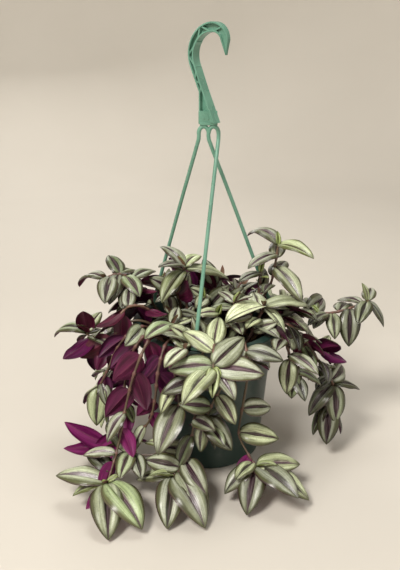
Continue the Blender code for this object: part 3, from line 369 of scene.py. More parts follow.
def toward(heading, pitch=0.0):
    """Unit vector of a heading and a pitch in degrees."""
    h, p = math.radians(heading), math.radians(pitch)
    return Vector((math.cos(p) * math.cos(h), math.cos(p) * math.sin(h), math.sin(p)))


def spline(points, place):
    """Point of the Catmull-Rom curve through the points, at a place counted in points."""
    last = len(points) - 1
    i = min(int(place), last - 1)
    t = place - i
    p0, p1, p2, p3 = (points[min(max(k, 0), last)] for k in (i - 1, i, i + 1, i + 2))
    return 0.5 * (2 * p1 + (p2 - p0) * t + (2 * p0 - 5 * p1 + 4 * p2 - p3) * t * t
                  + (3 * p1 - p0 - 3 * p2 + p3) * t ** 3)


def spline_direction(points, place):
    ahead, behind = min(place + SPLINE_STEP, len(points) - 1), max(place - SPLINE_STEP, 0)
    return (spline(points, ahead) - spline(points, behind)).normalized()


def stem_point(route, place):
    """Point on the axis of the stem, whose sections are STEM_STEPS to a span with straight runs between."""
    low = math.floor(place * STEM_STEPS) / STEM_STEPS
    high = min(low + 1 / STEM_STEPS, len(route) - 1)
    if high <= low:
        return spline(route, low)
    return spline(route, low).lerp(spline(route, high), (place - low) / (high - low))


def leaf_base(route, place):
    """Where a leaf starts: inside the stem, and a little short of its end."""
    return stem_point(route, place) - spline_direction(route, place) * TIP_OVERLAP * MM


# ---------------------------------------------------------------- the part's leaves and shoots

class Leaf:
    """A pointed oval blade on a circular arc from its base, grooved along the midrib."""

    def __init__(self, base, axis, face, length, bend, fold):
        self.base, self.axis, self.length = base, axis.normalized(), length
        self.face = (face - self.axis * face.dot(self.axis)).normalized()
        self.bend, self.fold = bend, fold

    def turned(self, heading, pitch, scale):
        side = self.axis.cross(self.face)
        turn = Matrix.Rotation(math.radians(heading), 3, "Z")
        turn = turn @ Matrix.Rotation(math.radians(pitch), 3, side)
        axis, face = turn @ self.axis, turn @ self.face
        return Leaf(self.base, axis, face, self.length * scale, self.bend, self.fold)

    def half_width(self, t):
        """Half of the width at t: nothing at both ends, and widest two fifths along."""
        return self.length * LEAF_BREADTH * 2.556 * t ** 0.55 * (1 - t) ** 0.85

    def arc(self, t):
        """Point of the arc at t, from base to tip, and the direction that the upper side faces there."""
        bend = math.radians(self.bend)
        angle = bend * (0.5 - t)
        along = (math.sin(bend / 2) - math.sin(angle)) / bend
        rise = (math.cos(angle) - math.cos(bend / 2)) / bend
        centre = self.base + (self.axis * along + self.face * rise) * self.length
        return centre, self.face * math.cos(angle) - self.axis * math.sin(angle)

    def solid_points(self):
        """Points of the part's coarse leaf: both edges at each of its rings, and the tip."""
        across, fold = self.axis.cross(self.face), math.radians(self.fold)
        points = [self.arc(1.0)[0]]
        for t in CURLED_RINGS if self.bend > CURLED_BEND else LEAF_RINGS:
            centre, normal = self.arc(t)
            centre += normal * self.half_width(t) * math.sin(fold)
            reach = across * self.half_width(t) * math.cos(fold)
            points += [centre - reach, centre + reach]
        return points


def hand_set_leaf(route, place, heading, pitch, length, roll=0.0, bend=LEAF_BEND, fold=LEAF_FOLD):
    axis = toward(heading, pitch)
    face = Matrix.Rotation(math.radians(roll), 3, axis) @ toward(heading, pitch + 90)
    return Leaf(leaf_base(route, place), axis, face, length * MM, bend, fold)


def ranked_leaf(route, place, rank, rng, length, stance="spread"):
    """A leaf of one of the two ranks along a stem, with its upper side out and up when it is spread,
    to the stem when it is erect, and to the back when it hangs."""
    base, along = leaf_base(route, place), spline_direction(route, place)
    outward = Vector((base.x, base.y, 0)).normalized()
    jitter = Vector([rng.uniform(-0.35, 0.35) for _ in range(3)])
    facing, pull = {
        "spread": (outward * 0.75 + Vector((0, 0, 0.8)), 0.0),
        "erect": (Vector((0, 0, 0.35)) - outward, 0.9),
        "hanging": (Vector((0, 0.9, 0.15)) - outward * 0.35, -1.1),
    }[stance]
    face = (facing + jitter).normalized()
    side = along.cross(face).normalized() * rank
    axis = along * rng.uniform(0.25, 0.6) + side + face * rng.uniform(-0.1, 0.3) + Vector((0, 0, pull))
    return Leaf(base, axis, face, length * MM, rng.uniform(*RANKED_BENDS), rng.uniform(*RANKED_FOLDS))


def rule_leaves(route, count, seed, erect=False):
    """Leaves in two ranks along the whole of a stem, closing in a small tuft at the tip."""
    rng = random.Random(seed)
    last = len(route) - 1
    leaves = []
    for k in range(count):
        length = rng.uniform(*RANKED_LENGTHS) * (1 if k < count - 2 else 0.7)
        place = last * (1 - RANKED_STRETCH * (1 - k / (count - 1)))
        stance = "erect" if erect and k % 3 == 1 else "spread"
        leaves.append(ranked_leaf(route, place, 1 if k % 2 else -1, rng, length, stance))
    tip = spline_direction(route, last)
    young = Leaf(leaf_base(route, last), tip + Vector((0, 0, 0.3)), tip.orthogonal(), YOUNG_LENGTH * MM,
                 YOUNG_BEND, YOUNG_FOLD)
    return leaves + [young]


def filling_leaves(route, taken, seed, stance):
    """Leaves in two ranks where a listed shoot would be bare: away from the places taken."""
    rng = random.Random(seed)
    leaves = []
    place, rank = FILL_START, 1
    while place < len(route) - 1:
        if all(abs(place - other) > FILL_ROOM for other in taken):
            leaves.append(ranked_leaf(route, place, rank, rng, rng.uniform(*FILL_LENGTHS), stance))
            rank = -rank
        place += FILL_STEP
    return leaves


def around(radius, angle, height):
    """Point at a radius from the pot's axis, an angle in radians and a height."""
    return mm(radius * math.cos(angle), radius * math.sin(angle), height)


def trailing_route(heading, reach, tip_height):
    """Stem points from the soil, over the rim and down outside the pot."""
    profile = ((46, STEM_START), (66, 161), (85, 164), (85 + (reach - 85) * 0.45, 150),
               (85 + (reach - 85) * 0.8, 0.5 * (150 + tip_height)), (reach, tip_height))
    return [around(r, math.radians(heading + sway), z) for (r, z), sway in zip(profile, (0, 0, 1, 3, 4, 3))]


def upright_route(x, y, heading, height):
    lean = toward(heading)
    profile = ((0, STEM_START), (3, STEM_START + height * 0.4), (12, STEM_START + height * 0.8),
               (22, STEM_START + height))
    return [mm(x + lean.x * out, y + lean.y * out, z) for out, z in profile]


def all_shoots():
    """Name, route and wished leaves of every shoot, in the order they are placed."""
    for seed, (name, (points, entries)) in enumerate(SHOOTS.items()):
        route = [mm(*p) for p in points]
        leaves = [hand_set_leaf(route, *entry) for entry in entries]
        if name not in BARE_SHOOTS:
            stance = "hanging" if name in TURNED_SHOOTS else "spread"
            leaves += filling_leaves(route, [entry[0] for entry in entries], FILLING_SEED + seed, stance)
        yield name, route, leaves
    for seed, (name, (*shape, count)) in enumerate(TRAILING.items()):
        route = trailing_route(*shape)
        yield name, route, rule_leaves(route, count, TRAILING_SEED + seed)
    for seed, (name, (*shape, count)) in enumerate(UPRIGHT.items()):
        route = upright_route(*shape)
        yield name, route, rule_leaves(route, count, UPRIGHT_SEED + seed, True)


def leaves_of_part(node, wished):
    """The wished leaves as the part has them: turned and scaled to where its solid has their points."""
    vertices = node.data.vertices
    tree = KDTree(len(vertices))
    for vertex in vertices:
        tree.insert(vertex.co, vertex.index)
    tree.balance()
    found = []
    for leaf in wished:
        best, best_score = None, 1
        for heading, pitch, scale in NUDGES:
            candidate = leaf.turned(heading, pitch, scale)
            points = candidate.solid_points()
            score = sum(tree.find(point)[2] < MATCH * MM for point in points)
            if score > best_score:
                best, best_score = candidate, score
            if score == len(points):
                break
        if best:
            found.append(best)
    return found


# ---------------------------------------------------------------- meshes

def placed(name, data):
    """A new object in the scene."""
    obj = bpy.data.objects.new(name, data)
    bpy.context.scene.collection.objects.link(obj)
    return obj


def mesh_object(name, verts, faces, materials, smooth_angle=40):
    """A smooth-shaded object that is sharp where its faces meet at more than an angle in degrees."""
    mesh = bpy.data.meshes.new(name)
    mesh.from_pydata(verts, [], faces)
    for material in materials:
        mesh.materials.append(material)
    mesh.shade_smooth()
    mesh.set_sharp_from_angle(angle=math.radians(smooth_angle))
    return placed(name, mesh)


def turns(sides, offset=0.0):
    """The angles of a regular polygon's corners."""
    return [2 * math.pi * (k + offset) / sides for k in range(sides)]


def strips(rows, size, start=0, closed=True):
    """Quads between successive rows of points."""
    for row in range(start, start + (rows - 1) * size, size):
        for k in range(size if closed else size - 1):
            a, b = row + k, row + (k + 1) % size
            yield a, b, b + size, a + size


def rings(points, radii, sides):
    """Circles of points round a line, turned against each other as little as they can be."""
    across = None
    for before, point, after, radius in zip(points[:1] + points, points, points[1:] + points[-1:], radii):
        ahead = (after - before).normalized()
        across = ahead.orthogonal() if across is None else across - ahead * across.dot(ahead)
        across.normalize()
        other = ahead.cross(across)
        yield [point + (across * math.cos(angle) + other * math.sin(angle)) * radius
               for angle in turns(sides)]


class FineMesh:
    """Vertices, faces and per-point attributes gathered for one object."""

    ATTRIBUTES = ("across", "along", "seed", "tone", "age", "vivid", "painted_shade")

    def __init__(self):
        self.points, self.faces, self.slots = [], [], []
        self.values = {name: [] for name in self.ATTRIBUTES}

    def add_point(self, point, **values):
        self.points.append(point)
        for name in self.ATTRIBUTES:
            self.values[name].append(values.get(name, 0.0))
        return len(self.points) - 1

    def add_face(self, face, slot):
        self.faces.append(tuple(face))
        self.slots.append(slot)

    def build(self, name, materials):
        obj = mesh_object(name, self.points, self.faces, materials, BLADE_SHARP)
        obj.data.polygons.foreach_set("material_index", self.slots)
        for attribute, values in self.values.items():
            obj.data.attributes.new(attribute, "FLOAT", "POINT").data.foreach_set("value", values)
        return obj


# ---------------------------------------------------------------- fine leaves

def leaf_place(leaf, t, u):
    """Point of the leaf's middle surface and the direction that its upper side faces."""
    centre, normal = leaf.arc(t)
    across = leaf.axis.cross(leaf.face)
    tilt = leaf.twist * leaf.calm * (t - 0.3)
    across, normal = (across * math.cos(tilt) + normal * math.sin(tilt),
                      normal * math.cos(tilt) - across * math.sin(tilt))
    edge, width, fold = abs(u), leaf.half_width(t), math.radians(leaf.fold)
    wave, phase = leaf.waves[0 if u < 0 else 1]
    lift = BULGE * math.sin(math.pi * edge) - EDGE_DROOP * edge ** 3
    lift += WAVE * edge ** 2 * math.sin(2 * math.pi * (wave * t + phase))
    lift = width * (lift * leaf.calm + edge * math.sin(fold))
    lift -= GROOVE_DEPTH * MM * math.exp(-(edge / GROOVE_WIDTH) ** 2) * min(1, 4 * t, 6 * (1 - t))
    return centre + across * width * u * math.cos(fold) + normal * lift, normal


def dress_leaf(leaf, rng, vivid, painted_shade):
    """Give the leaf its own waves, twist and look. Calm is the share of its own curves that it keeps."""
    leaf.calm = 1.0
    leaf.waves = [(rng.uniform(1.3, 2.4), rng.random()) for _ in range(2)]
    leaf.twist = math.radians(rng.uniform(-TWIST, TWIST))
    young = max(0.0, (YOUNG_BELOW * MM - leaf.length) / (YOUNG_SPAN * MM))
    leaf.look = {
        "seed": rng.uniform(0, 50),
        "tone": rng.random(),
        "age": min(1.0, young + (FOLDED_AGE if leaf.fold > FOLDED else 0.0)),
        "vivid": max(vivid, rng.uniform(0, 0.25)),
        # the shoot's painted shade, a little different on each leaf
        "painted_shade": painted_shade * rng.uniform(0.6, 1.2),
    }


def probe(leaf):
    """The box and the search tree of a coarse blade, a little thicker than the fine one."""
    points, faces = [], []
    for side in (-1, 1):
        faces += strips(PROBE_ROWS + 1, PROBE_COLUMNS + 1, len(points), closed=False)
        for i in range(PROBE_ROWS + 1):
            t = PROBE_START + (1 - PROBE_START) * i / PROBE_ROWS
            for k in range(PROBE_COLUMNS + 1):
                point, normal = leaf_place(leaf, t, 2 * k / PROBE_COLUMNS - 1)
                points.append(point + normal * (side * PROBE_HALF * MM))
    low, high = ([pick(values) for values in zip(*points)] for pick in (min, max))
    return low, high, BVHTree.FromPolygons(points, faces)


def cutting(first, second):
    """Whether two probes cut each other."""
    (low_a, high_a, tree_a), (low_b, high_b, tree_b) = first, second
    apart = any(low_a[i] > high_b[i] or low_b[i] > high_a[i] for i in range(3))
    return not apart and bool(tree_a.overlap(tree_b))


def calm_crossing(shoots):
    """Flatten leaves that cut another shoot's leaves, towards the part's own leaves, which keep apart."""
    owners = [(leaf, name) for name, _, leaves, _ in shoots for leaf in leaves]
    probes = [probe(leaf) for leaf, _ in owners]
    for _ in range(CALM_ROUNDS):
        cut = set()
        for a, b in combinations(range(len(owners)), 2):
            if owners[a][1] != owners[b][1] and cutting(probes[a], probes[b]):
                cut.update((a, b))
        for a in cut:
            owners[a][0].calm *= CALMING
            probes[a] = probe(owners[a][0])


def add_leaf(fine, leaf):
    """A closed thin blade: an upper and an under side that share their border."""
    columns = 2 * HALF_COLUMNS
    upper, under = [], []
    for i in range(ROWS + 1):
        t = 0.5 - 0.5 * math.cos(math.pi * i / ROWS)
        if i in (0, ROWS):
            end = fine.add_point(leaf_place(leaf, t, 0)[0], along=t, **leaf.look)
            upper.append([end] * (columns + 1))
            under.append(upper[-1])
            continue
        top, low = [], []
        for k in range(columns + 1):
            u = k / HALF_COLUMNS - 1
            point, normal = leaf_place(leaf, t, u)
            half = normal * (SHELL * MM * (1 - abs(u) ** 3) * min(1.0, 5 * t, 8 * (1 - t)) / 2)
            top.append(fine.add_point(point + half, across=u, along=t, **leaf.look))
            low.append(top[-1] if k in (0, columns)
                       else fine.add_point(point - half, across=u, along=t, **leaf.look))
        upper.append(top)
        under.append(low)
    for i in range(ROWS):
        for k in range(columns):
            for slot, rows in enumerate((upper, under)):
                face = list(dict.fromkeys((rows[i][k], rows[i][k + 1], rows[i + 1][k + 1], rows[i + 1][k])))
                fine.add_face(reversed(face) if slot else face, slot)


# ---------------------------------------------------------------- stems

def evenly_spaced(samples, step):
    """Points about a step apart along the line through the samples, and how far along it each one is."""
    lengths = [0.0]
    for a, b in zip(samples, samples[1:]):
        lengths.append(lengths[-1] + (b - a).length)
    count = max(4, round(lengths[-1] / step))
    points, at, k = [], [lengths[-1] * i / count for i in range(count + 1)], 0
    for target in at:
        while k < len(lengths) - 2 and lengths[k + 1] < target:
            k += 1
        share = (target - lengths[k]) / max(lengths[k + 1] - lengths[k], 1e-9)
        points.append(samples[k].lerp(samples[k + 1], min(share, 1)))
    return points, at


def add_stem(fine, route, leaves, rng):
    """The stem as a fine round tube, swollen at its nodes, with a short sheath over each."""
    samples = [route[0] - mm(0, 0, ROOT_DEPTH)]
    samples += [spline(route, i / SPAN_SAMPLES) for i in range((len(route) - 1) * SPAN_SAMPLES + 1)]
    centres, at = evenly_spaced(samples, STEM_STEP * MM)
    nodes = []
    for leaf in leaves:
        nearest = min(range(len(centres)), key=lambda i: (centres[i] - leaf.base).length_squared)
        if all(abs(at[nearest] - other) > NODE_APART * MM for other in nodes):
            nodes.append(at[nearest])
    seed = rng.uniform(0, 50)
    radii, looks = [], []
    for place in at:
        share, swell, sheath = place / at[-1], 0.0, 0.0
        for node in nodes:
            swell = max(swell, math.exp(-((place - node) / (NODE_SPAN * MM)) ** 2))
            past = (place - node) / (SHEATH_LENGTH * MM)
            if 0 <= past < 1:
                sheath = max(sheath, 1 - 0.5 * past)
        radius = (STEM_ROOT_RADIUS + (STEM_TIP_RADIUS - STEM_ROOT_RADIUS) * share) * STEM_SLIMNESS
        radii.append((radius * (1 + NODE_SWELL * swell) + SHEATH_THICKNESS * sheath) * MM)
        looks.append({"along": place * STREAKS_PER_METRE, "seed": seed,
                      "tone": max(swell, 0.6 * sheath), "age": share})
    radii[-1] *= 0.5
    first = len(fine.points)
    for ring, look in zip(rings(centres, radii, STEM_SIDES), looks):
        for s, point in enumerate(ring):
            fine.add_point(point, across=s / STEM_SIDES, **look)
    end = len(fine.points)
    fine.add_face(reversed(range(first, first + STEM_SIDES)), 2)
    for face in strips(len(centres), STEM_SIDES, first):
        fine.add_face(face, 2)
    fine.add_face(range(end - STEM_SIDES, end), 2)


def dressed_leaves(name, node, wished, rng):
    leaves = leaves_of_part(node, wished)
    for leaf in leaves:
        low = min(1.0, max(0.0, (VIVID_TOP * MM - leaf.base.z) / (VIVID_SPAN * MM)))
        dress_leaf(leaf, rng, low if name in VIVID_SHOOTS else 0.0, PAINTED_SHADE.get(name, 0.0))
    return leaves


def make_shoot(name, route, leaves, rng, materials):
    fine = FineMesh()
    for leaf in leaves:
        add_leaf(fine, leaf)
    add_stem(fine, route, leaves, rng)
    obj = fine.build(name + "_plant", materials)
    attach(obj, "root")
    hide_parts(name)


# ---------------------------------------------------------------- solids of plastic and soil

def tube(points, radii, sides):
    """Vertices and faces of a closed round tube through the points."""
    verts = [point for ring in rings(points, radii, sides) for point in ring]
    caps = [tuple(reversed(range(sides))), tuple(range(len(verts) - sides, len(verts)))]
    return verts, [*strips(len(points), sides), *caps]


def faces_of(work):
    """The faces of a bmesh, which is freed."""
    faces = [tuple(v.index for v in f.verts) for f in work.faces]
    work.free()
    return faces


def box(centre, size, heading=0.0, edge=CHAMFER):
    """Vertices and faces of a box with chamfered edges, in millimetres, turned about the vertical."""
    work = bmesh.new()
    bmesh.ops.create_cube(work, size=1.0)
    bmesh.ops.scale(work, vec=Vector(size) * MM, verts=work.verts)
    bmesh.ops.bevel(work, geom=work.edges[:], offset=edge * MM, segments=2, affect="EDGES", profile=0.6)
    turn = Matrix.Translation(Vector(centre) * MM) @ Matrix.Rotation(math.radians(heading), 4, "Z")
    bmesh.ops.transform(work, matrix=turn, verts=work.verts)
    work.verts.index_update()
    verts = [v.co.copy() for v in work.verts]
    return verts, faces_of(work)


def turned(profile, sides, offset=0.5):
    """Vertices and faces of a closed profile of (radius, height) in millimetres, turned about Z."""
    verts = [mm(0, 0, profile[0][1])]
    verts += [around(radius, angle, height)
              for radius, height in profile[1:-1] for angle in turns(sides, offset)]
    verts.append(mm(0, 0, profile[-1][1]))
    top, end = len(verts) - 1, len(verts) - 1 - sides
    faces = list(strips(len(profile) - 2, sides, 1))
    for k in range(sides):
        after = (k + 1) % sides
        faces += [(0, 1 + after, 1 + k), (end + k, end + after, top)]
    return verts, faces


def joined(solids):
    """One list of vertices and faces from several."""
    verts, faces = [], []
    for points, polygons in solids:
        start = len(verts)
        verts += points
        faces += [tuple(start + i for i in polygon) for polygon in polygons]
    return verts, faces


def fillet(profile, radius, steps=3):
    """The profile with its corners rounded by short curves, except at its two ends."""
    rounded = [profile[0]]
    for before, corner, after in zip(profile, profile[1:], profile[2:]):
        b, c, a = Vector(before), Vector(corner), Vector(after)
        reach = min(radius, (b - c).length * 0.45, (a - c).length * 0.45)
        start, end = c + (b - c).normalized() * reach, c + (a - c).normalized() * reach
        for k in range(steps + 1):
            t = k / steps
            point = start.lerp(c, t).lerp(c.lerp(end, t), t)
            rounded.append((point.x, point.y))
    rounded.append(profile[-1])
    return rounded


def wall_radius(height):
    return BASE_RADIUS + (WALL_TOP_RADIUS - BASE_RADIUS) * height / (POT_HEIGHT - LEDGE_THICKNESS)


def make_pot(plastic):
    """The pot with rounded edges, a moulded bead on its band, drain holes and strand slots."""
    under = POT_HEIGHT - LEDGE_THICKNESS
    band_inner = RIM_RADIUS - BAND_THICKNESS
    band_bottom = POT_HEIGHT - BAND_DEPTH
    profile = [
        (0, 0.6), (BASE_RADIUS - 10, 0.6), (BASE_RADIUS - 8, 0), (BASE_RADIUS - 1.6, 0),
        (wall_radius(1.6), 1.6), (wall_radius(40), 40), (wall_radius(80), 80), (wall_radius(120), 120),
        (wall_radius(under), under), (band_inner, under), (band_inner, band_bottom),
        (RIM_RADIUS - 0.2, band_bottom), (RIM_RADIUS, band_bottom + 0.8),
        (RIM_RADIUS - 0.1, band_bottom + 2.4), (RIM_RADIUS - 0.5, band_bottom + 3.0),
        (RIM_RADIUS - 0.5, POT_HEIGHT - 3.2),
        (RIM_RADIUS, POT_HEIGHT - 2.4), (RIM_RADIUS, POT_HEIGHT),
        (WALL_TOP_RADIUS - WALL, POT_HEIGHT), (wall_radius(BASE_THICKNESS) - WALL, BASE_THICKNESS),
        (0, BASE_THICKNESS),
    ]
    body = mesh_object("pot_shell", *turned(fillet(profile, POT_FILLET), POT_SIDES), [plastic])
    cutters = []
    for index in range(DRAIN_COUNT):
        out = toward(360 * index / DRAIN_COUNT + DRAIN_TURN) * DRAIN_CIRCLE * MM
        cutters.append(tube([out + mm(0, 0, -5), out + mm(0, 0, 8)], [DRAIN_RADIUS * MM] * 2, DRAIN_SIDES))
    for heading in STRAND_HEADINGS.values():
        out = toward(heading) * SLOT_RADIUS
        cutters.append(box((out.x, out.y, POT_HEIGHT - 1), (*SLOT_SIZE, 8), heading))
    cutter = mesh_object("pot_cutter", *joined(cutters), [])
    modifier = body.modifiers.new("holes", "BOOLEAN")
    modifier.operation = "DIFFERENCE"
    modifier.object = cutter
    modifier.solver = "EXACT"
    bpy.context.view_layer.update()
    mesh = bpy.data.meshes.new_from_object(body.evaluated_get(bpy.context.evaluated_depsgraph_get()))
    body.modifiers.clear()
    body.data = mesh
    bpy.data.objects.remove(cutter, do_unlink=True)
    mesh.set_sharp_from_angle(angle=math.radians(32))
    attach(body, "root")
    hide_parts("pot")


def make_soil(peat):
    """Peat: an uneven top with crumbs and bark bits on it, in the pot."""
    rng = random.Random(SOIL_SEED)
    bottom = BASE_THICKNESS + GAP
    reach = wall_radius(SOIL_TOP) - WALL - GAP - 0.5

    def top_height(x, y):
        rough = noise.fractal(Vector((x, y, 3)) * 0.09, 0.9, 2.1, 4)
        return SOIL_TOP - SOIL_SINK + SOIL_ROUGHNESS * rough

    profile = [(0, bottom), (wall_radius(bottom) - WALL - GAP - 1, bottom)]
    profile += [(reach * i / SOIL_RINGS, SOIL_TOP) for i in range(SOIL_RINGS, -1, -1)]
    verts, faces = turned(profile, SOIL_SIDES, 0)
    for vert in verts[1 + SOIL_SIDES:]:
        vert.z = top_height(vert.x / MM, vert.y / MM) * MM
    solids = [(verts, faces)]
    for _ in range(CRUMBS):
        radius, heading = reach * math.sqrt(rng.uniform(0, 0.94)), rng.uniform(0, 360)
        x, y = radius * math.cos(math.radians(heading)), radius * math.sin(math.radians(heading))
        size = rng.uniform(0.7, 2.3) * rng.uniform(0.7, 1.2)
        solids.append(crumb((x, y, top_height(x, y) + 0.2), size, rng))
    soil = mesh_object("soil_peat", *joined(solids), [peat], 50)
    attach(soil, "root")
    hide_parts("soil")


def crumb(place, size, rng):
    """A small uneven lump of peat or bark."""
    work = bmesh.new()
    bmesh.ops.create_icosphere(work, subdivisions=1, radius=1.0)
    stretch = Vector((rng.uniform(0.6, 1.7), rng.uniform(0.6, 1.1), rng.uniform(0.35, 0.8))) * size * MM
    turn = Matrix.Rotation(rng.uniform(0, 6.28), 3, "Z") @ Matrix.Rotation(rng.uniform(-0.6, 0.6), 3, "X")
    verts = []
    for vertex in work.verts:
        lump = Vector([vertex.co[i] * stretch[i] for i in range(3)]) * rng.uniform(0.75, 1.15)
        verts.append(mm(*place) + turn @ lump)
    return verts, faces_of(work)


# ---------------------------------------------------------------- hanger

def strand_points(name):
    """Centre line of a strand: down from the hub, straight to the rim, then down into its slot."""
    top = mm(STRAND_TOPS[name], 0, STRAND_TOP_Z)
    bend = mm(STRAND_TOPS[name], 0, STRAND_BEND_Z)
    foot = toward(STRAND_HEADINGS[name]) * SLOT_RADIUS * MM
    low = foot + mm(0, 0, POT_HEIGHT + 9)
    eased = bend.lerp(low, 0.04) + mm(0, 0, -1.5)
    route = [top, bend, eased, bend.lerp(low, 0.35), bend.lerp(low, 0.7), bend.lerp(low, 0.97), low,
             foot + mm(0, 0, POT_HEIGHT + 2)]
    return [spline(route, i / STRAND_SAMPLES) for i in range(STRAND_SAMPLES * (len(route) - 1) + 1)]


def strand_end(name):
    """Shoulder, tab and barb that clip a strand's end into the rim."""
    heading = STRAND_HEADINGS[name]
    out = toward(heading) * SLOT_RADIUS
    under = POT_HEIGHT - LEDGE_THICKNESS
    return [
        box((out.x, out.y, POT_HEIGHT + GAP + 1.7), (5.6, 9.0, 3.4), heading, 0.6),
        box((out.x, out.y, POT_HEIGHT - 1), (*TAB_SIZE, 9), heading),
        box((out.x, out.y, under - GAP - 1.5), (TAB_SIZE[0] - 0.4, BARB_WIDTH, 3.0), heading),
    ]


def hook_station(reach):
    """Outer edge, inner edge and depth of the hook, at a distance along it from its neck."""
    place, heading = mm(HOOK_NECK[0], 0, HOOK_NECK[1]), 90 + HOOK_LEAN
    width, depth = HOOK_NECK_WIDTH, HOOK_DEPTH
    left = max(reach, 0)
    for length, turn, end_width, end_depth in HOOK_RUNS.values():
        share = min(left / length, 1)
        half = math.radians(turn * share / 2)
        chord = length * share * (math.sin(half) / half if half else 1)
        way = math.radians(heading) - half
        place += mm(math.cos(way), 0, math.sin(way)) * chord
        heading -= turn * share
        width += (end_width - width) * share
        depth += (end_depth - depth) * share
        left = max(left - length, 0)
    side = math.radians(heading + 90)
    half_width = mm(math.cos(side), 0, math.sin(side)) * width / 2
    outer, inner = place + half_width, place - half_width
    if reach < 0:
        foot = Vector((outer.x, 0, HOOK_FOOT_Z * MM))
        outer = outer.lerp(foot, -reach / HOOK_FOOT)
        inner = inner.lerp(foot + mm(HOOK_FOOT_WIDTH, 0, 0), -reach / HOOK_FOOT)
    return outer, inner, depth * MM


def hook_turned(points):
    return [Matrix.Rotation(math.radians(HOOK_TURN), 3, "Z") @ point for point in points]


def hook_solid():
    """The hook's I-shaped section, its corners chamfered, swept from the hub to the tip."""
    verts = []
    reaches = [-HOOK_FOOT * (1 - k / FOOT_SECTIONS) for k in range(FOOT_SECTIONS)]
    reaches += [HOOK_LENGTH * k / HOOK_SECTIONS for k in range(HOOK_SECTIONS + 1)]
    t = HOOK_WEB / 2 * MM
    for reach in reaches:
        outer, inner, depth = hook_station(reach)
        d = depth / 2
        width = (outer - inner).length
        way = (outer - inner) / width
        rim = min(HOOK_RIM * MM, width * 0.36)
        corners = [(0, -d), (rim, -d), (rim, -t), (width - rim, -t), (width - rim, -d), (width, -d),
                   (width, d), (width - rim, d), (width - rim, t), (rim, t), (rim, d), (0, d)]
        for k, corner in enumerate(corners):
            point = Vector(corner)
            for other in (Vector(corners[k - 1]), Vector(corners[(k + 1) % 12])):
                cut = min(CHAMFER * MM, (other - point).length * 0.4)
                s, y = point + (other - point).normalized() * cut
                verts.append(inner + way * s + Vector((0, y, 0)))
    size = len(verts) // len(reaches)
    faces = [face[::-1] for face in strips(len(reaches), size)]
    faces += [tuple(range(size)), tuple(reversed(range(len(verts) - size, len(verts))))]
    return hook_turned(verts), faces


def rib_solid(start, end):
    """A rib across the hook's recess, from the inner rim at one place to the outer rim at another."""
    _, inner, depth = hook_station(start)
    outer, _, other_depth = hook_station(end)
    way = (outer - inner).normalized()
    across = Vector((0, 1, 0)).cross(way) * RIB_THICKNESS / 2 * MM
    a, b = inner + way * 1.2 * MM, outer - way * 1.2 * MM
    deep = Vector((0, min(depth, other_depth) / 2 - 0.7 * MM, 0))
    verts = [p + s * across + y * deep for p in (a, b) for s, y in ((-1, -1), (1, -1), (1, 1), (-1, 1))]
    faces = [(3, 2, 1, 0), (4, 5, 6, 7)] + [(k, (k + 1) % 4, 4 + (k + 1) % 4, 4 + k) for k in range(4)]
    return hook_turned(verts), faces


def rib_solids():
    """The zigzag of ribs, which starts at the outer rim."""
    pieces = []
    for k, (start, end) in enumerate(zip(RIB_PLACES, RIB_PLACES[1:])):
        pieces.append(rib_solid(start, end) if k % 2 else rib_solid(end, start))
    return pieces


def hub_solids():
    """Hub plate under the hook, its cross bar, its pips and the yoke that the strands grow from."""
    middle = (STRAND_TOPS["front"] + STRAND_TOPS["back_left"]) / 2
    span = STRAND_TOPS["front"] - STRAND_TOPS["back_left"]
    pieces = [box((middle - 0.8, 0, 376), (span - 1, 4.4, 13), 0, 0.7),
              box((middle, 0, 370), (span - 2, 6.2, 3.4), 0, 0.8)]
    for x in (middle - 5, middle, middle + 5):
        for y in (-1, 1):
            ends = [mm(x, y * 2.0, 375.5), mm(x, y * 2.75, 375.5)]
            pieces.append(tube(ends, [1.25 * MM, 1.05 * MM], ROUND_SIDES))
    for left, right in (("back_left", "back_right"), ("back_right", "front")):
        pieces.append(arch_solid(STRAND_TOPS[left], STRAND_TOPS[right]))
    return pieces


def arch_solid(x_left, x_right):
    """A small arch between two strands, under the hub plate."""
    centre, radius = (x_left + x_right) / 2, (x_right - x_left) / 2
    angles = [math.pi * k / ARCH_STEPS for k in range(ARCH_STEPS + 1)]
    points = [mm(centre - radius * math.cos(angle), 0, STRAND_BEND_Z + 4 + radius * 1.4 * math.sin(angle))
              for angle in angles]
    return tube(points, [STRAND_RADIUS * 1.08 * MM] * len(points), ROUND_SIDES)


def make_hanger(plastic):
    solids = [hook_solid()] + hub_solids()
    for name in STRAND_HEADINGS:
        points = strand_points(name)
        solids.append(tube(points, [STRAND_RADIUS * MM] * len(points), ROUND_SIDES))
        solids += strand_end(name)
    solids += rib_solids()
    hanger = mesh_object("hanger_moulding", *joined(solids), [plastic], 38)
    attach(hanger, "root")
    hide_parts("hanger")


# ---------------------------------------------------------------- materials

# Leaf colours, linear
SILVER_WARM = (0.62, 0.69, 0.43)
SILVER_COOL = (0.545, 0.580, 0.465)
SILVER_GREEN = (0.235, 0.260, 0.135)
FRESH_GREEN = (0.230, 0.345, 0.130)
LEAF_GREEN = (0.042, 0.042, 0.020)
LEAF_GREEN_LIGHT = (0.108, 0.118, 0.047)
PURPLE_BAND = (0.050, 0.021, 0.030)
GREEN_BAND = (0.038, 0.040, 0.022)
# pale lilac of the band's streaks, partly painted sheen, and of the painted highlight along the midrib
LILAC_TINT_AND_HIGHLIGHT = (0.205, 0.150, 0.165)
PURPLE_RIM = (0.050, 0.021, 0.024)
YOUNG_GREEN = (0.170, 0.215, 0.040)
YOUNG_SILVER = (0.47, 0.60, 0.17)
WINE_DEEP = (0.031, 0.0022, 0.008)
WINE_LIGHT = (0.074, 0.0060, 0.018)
PURPLE_DEEP = (0.024, 0.0019, 0.015)
PURPLE_LIGHT = (0.068, 0.0065, 0.044)
MAGENTA_DEEP = (0.078, 0.0030, 0.042)
MAGENTA_LIGHT = (0.180, 0.0120, 0.105)
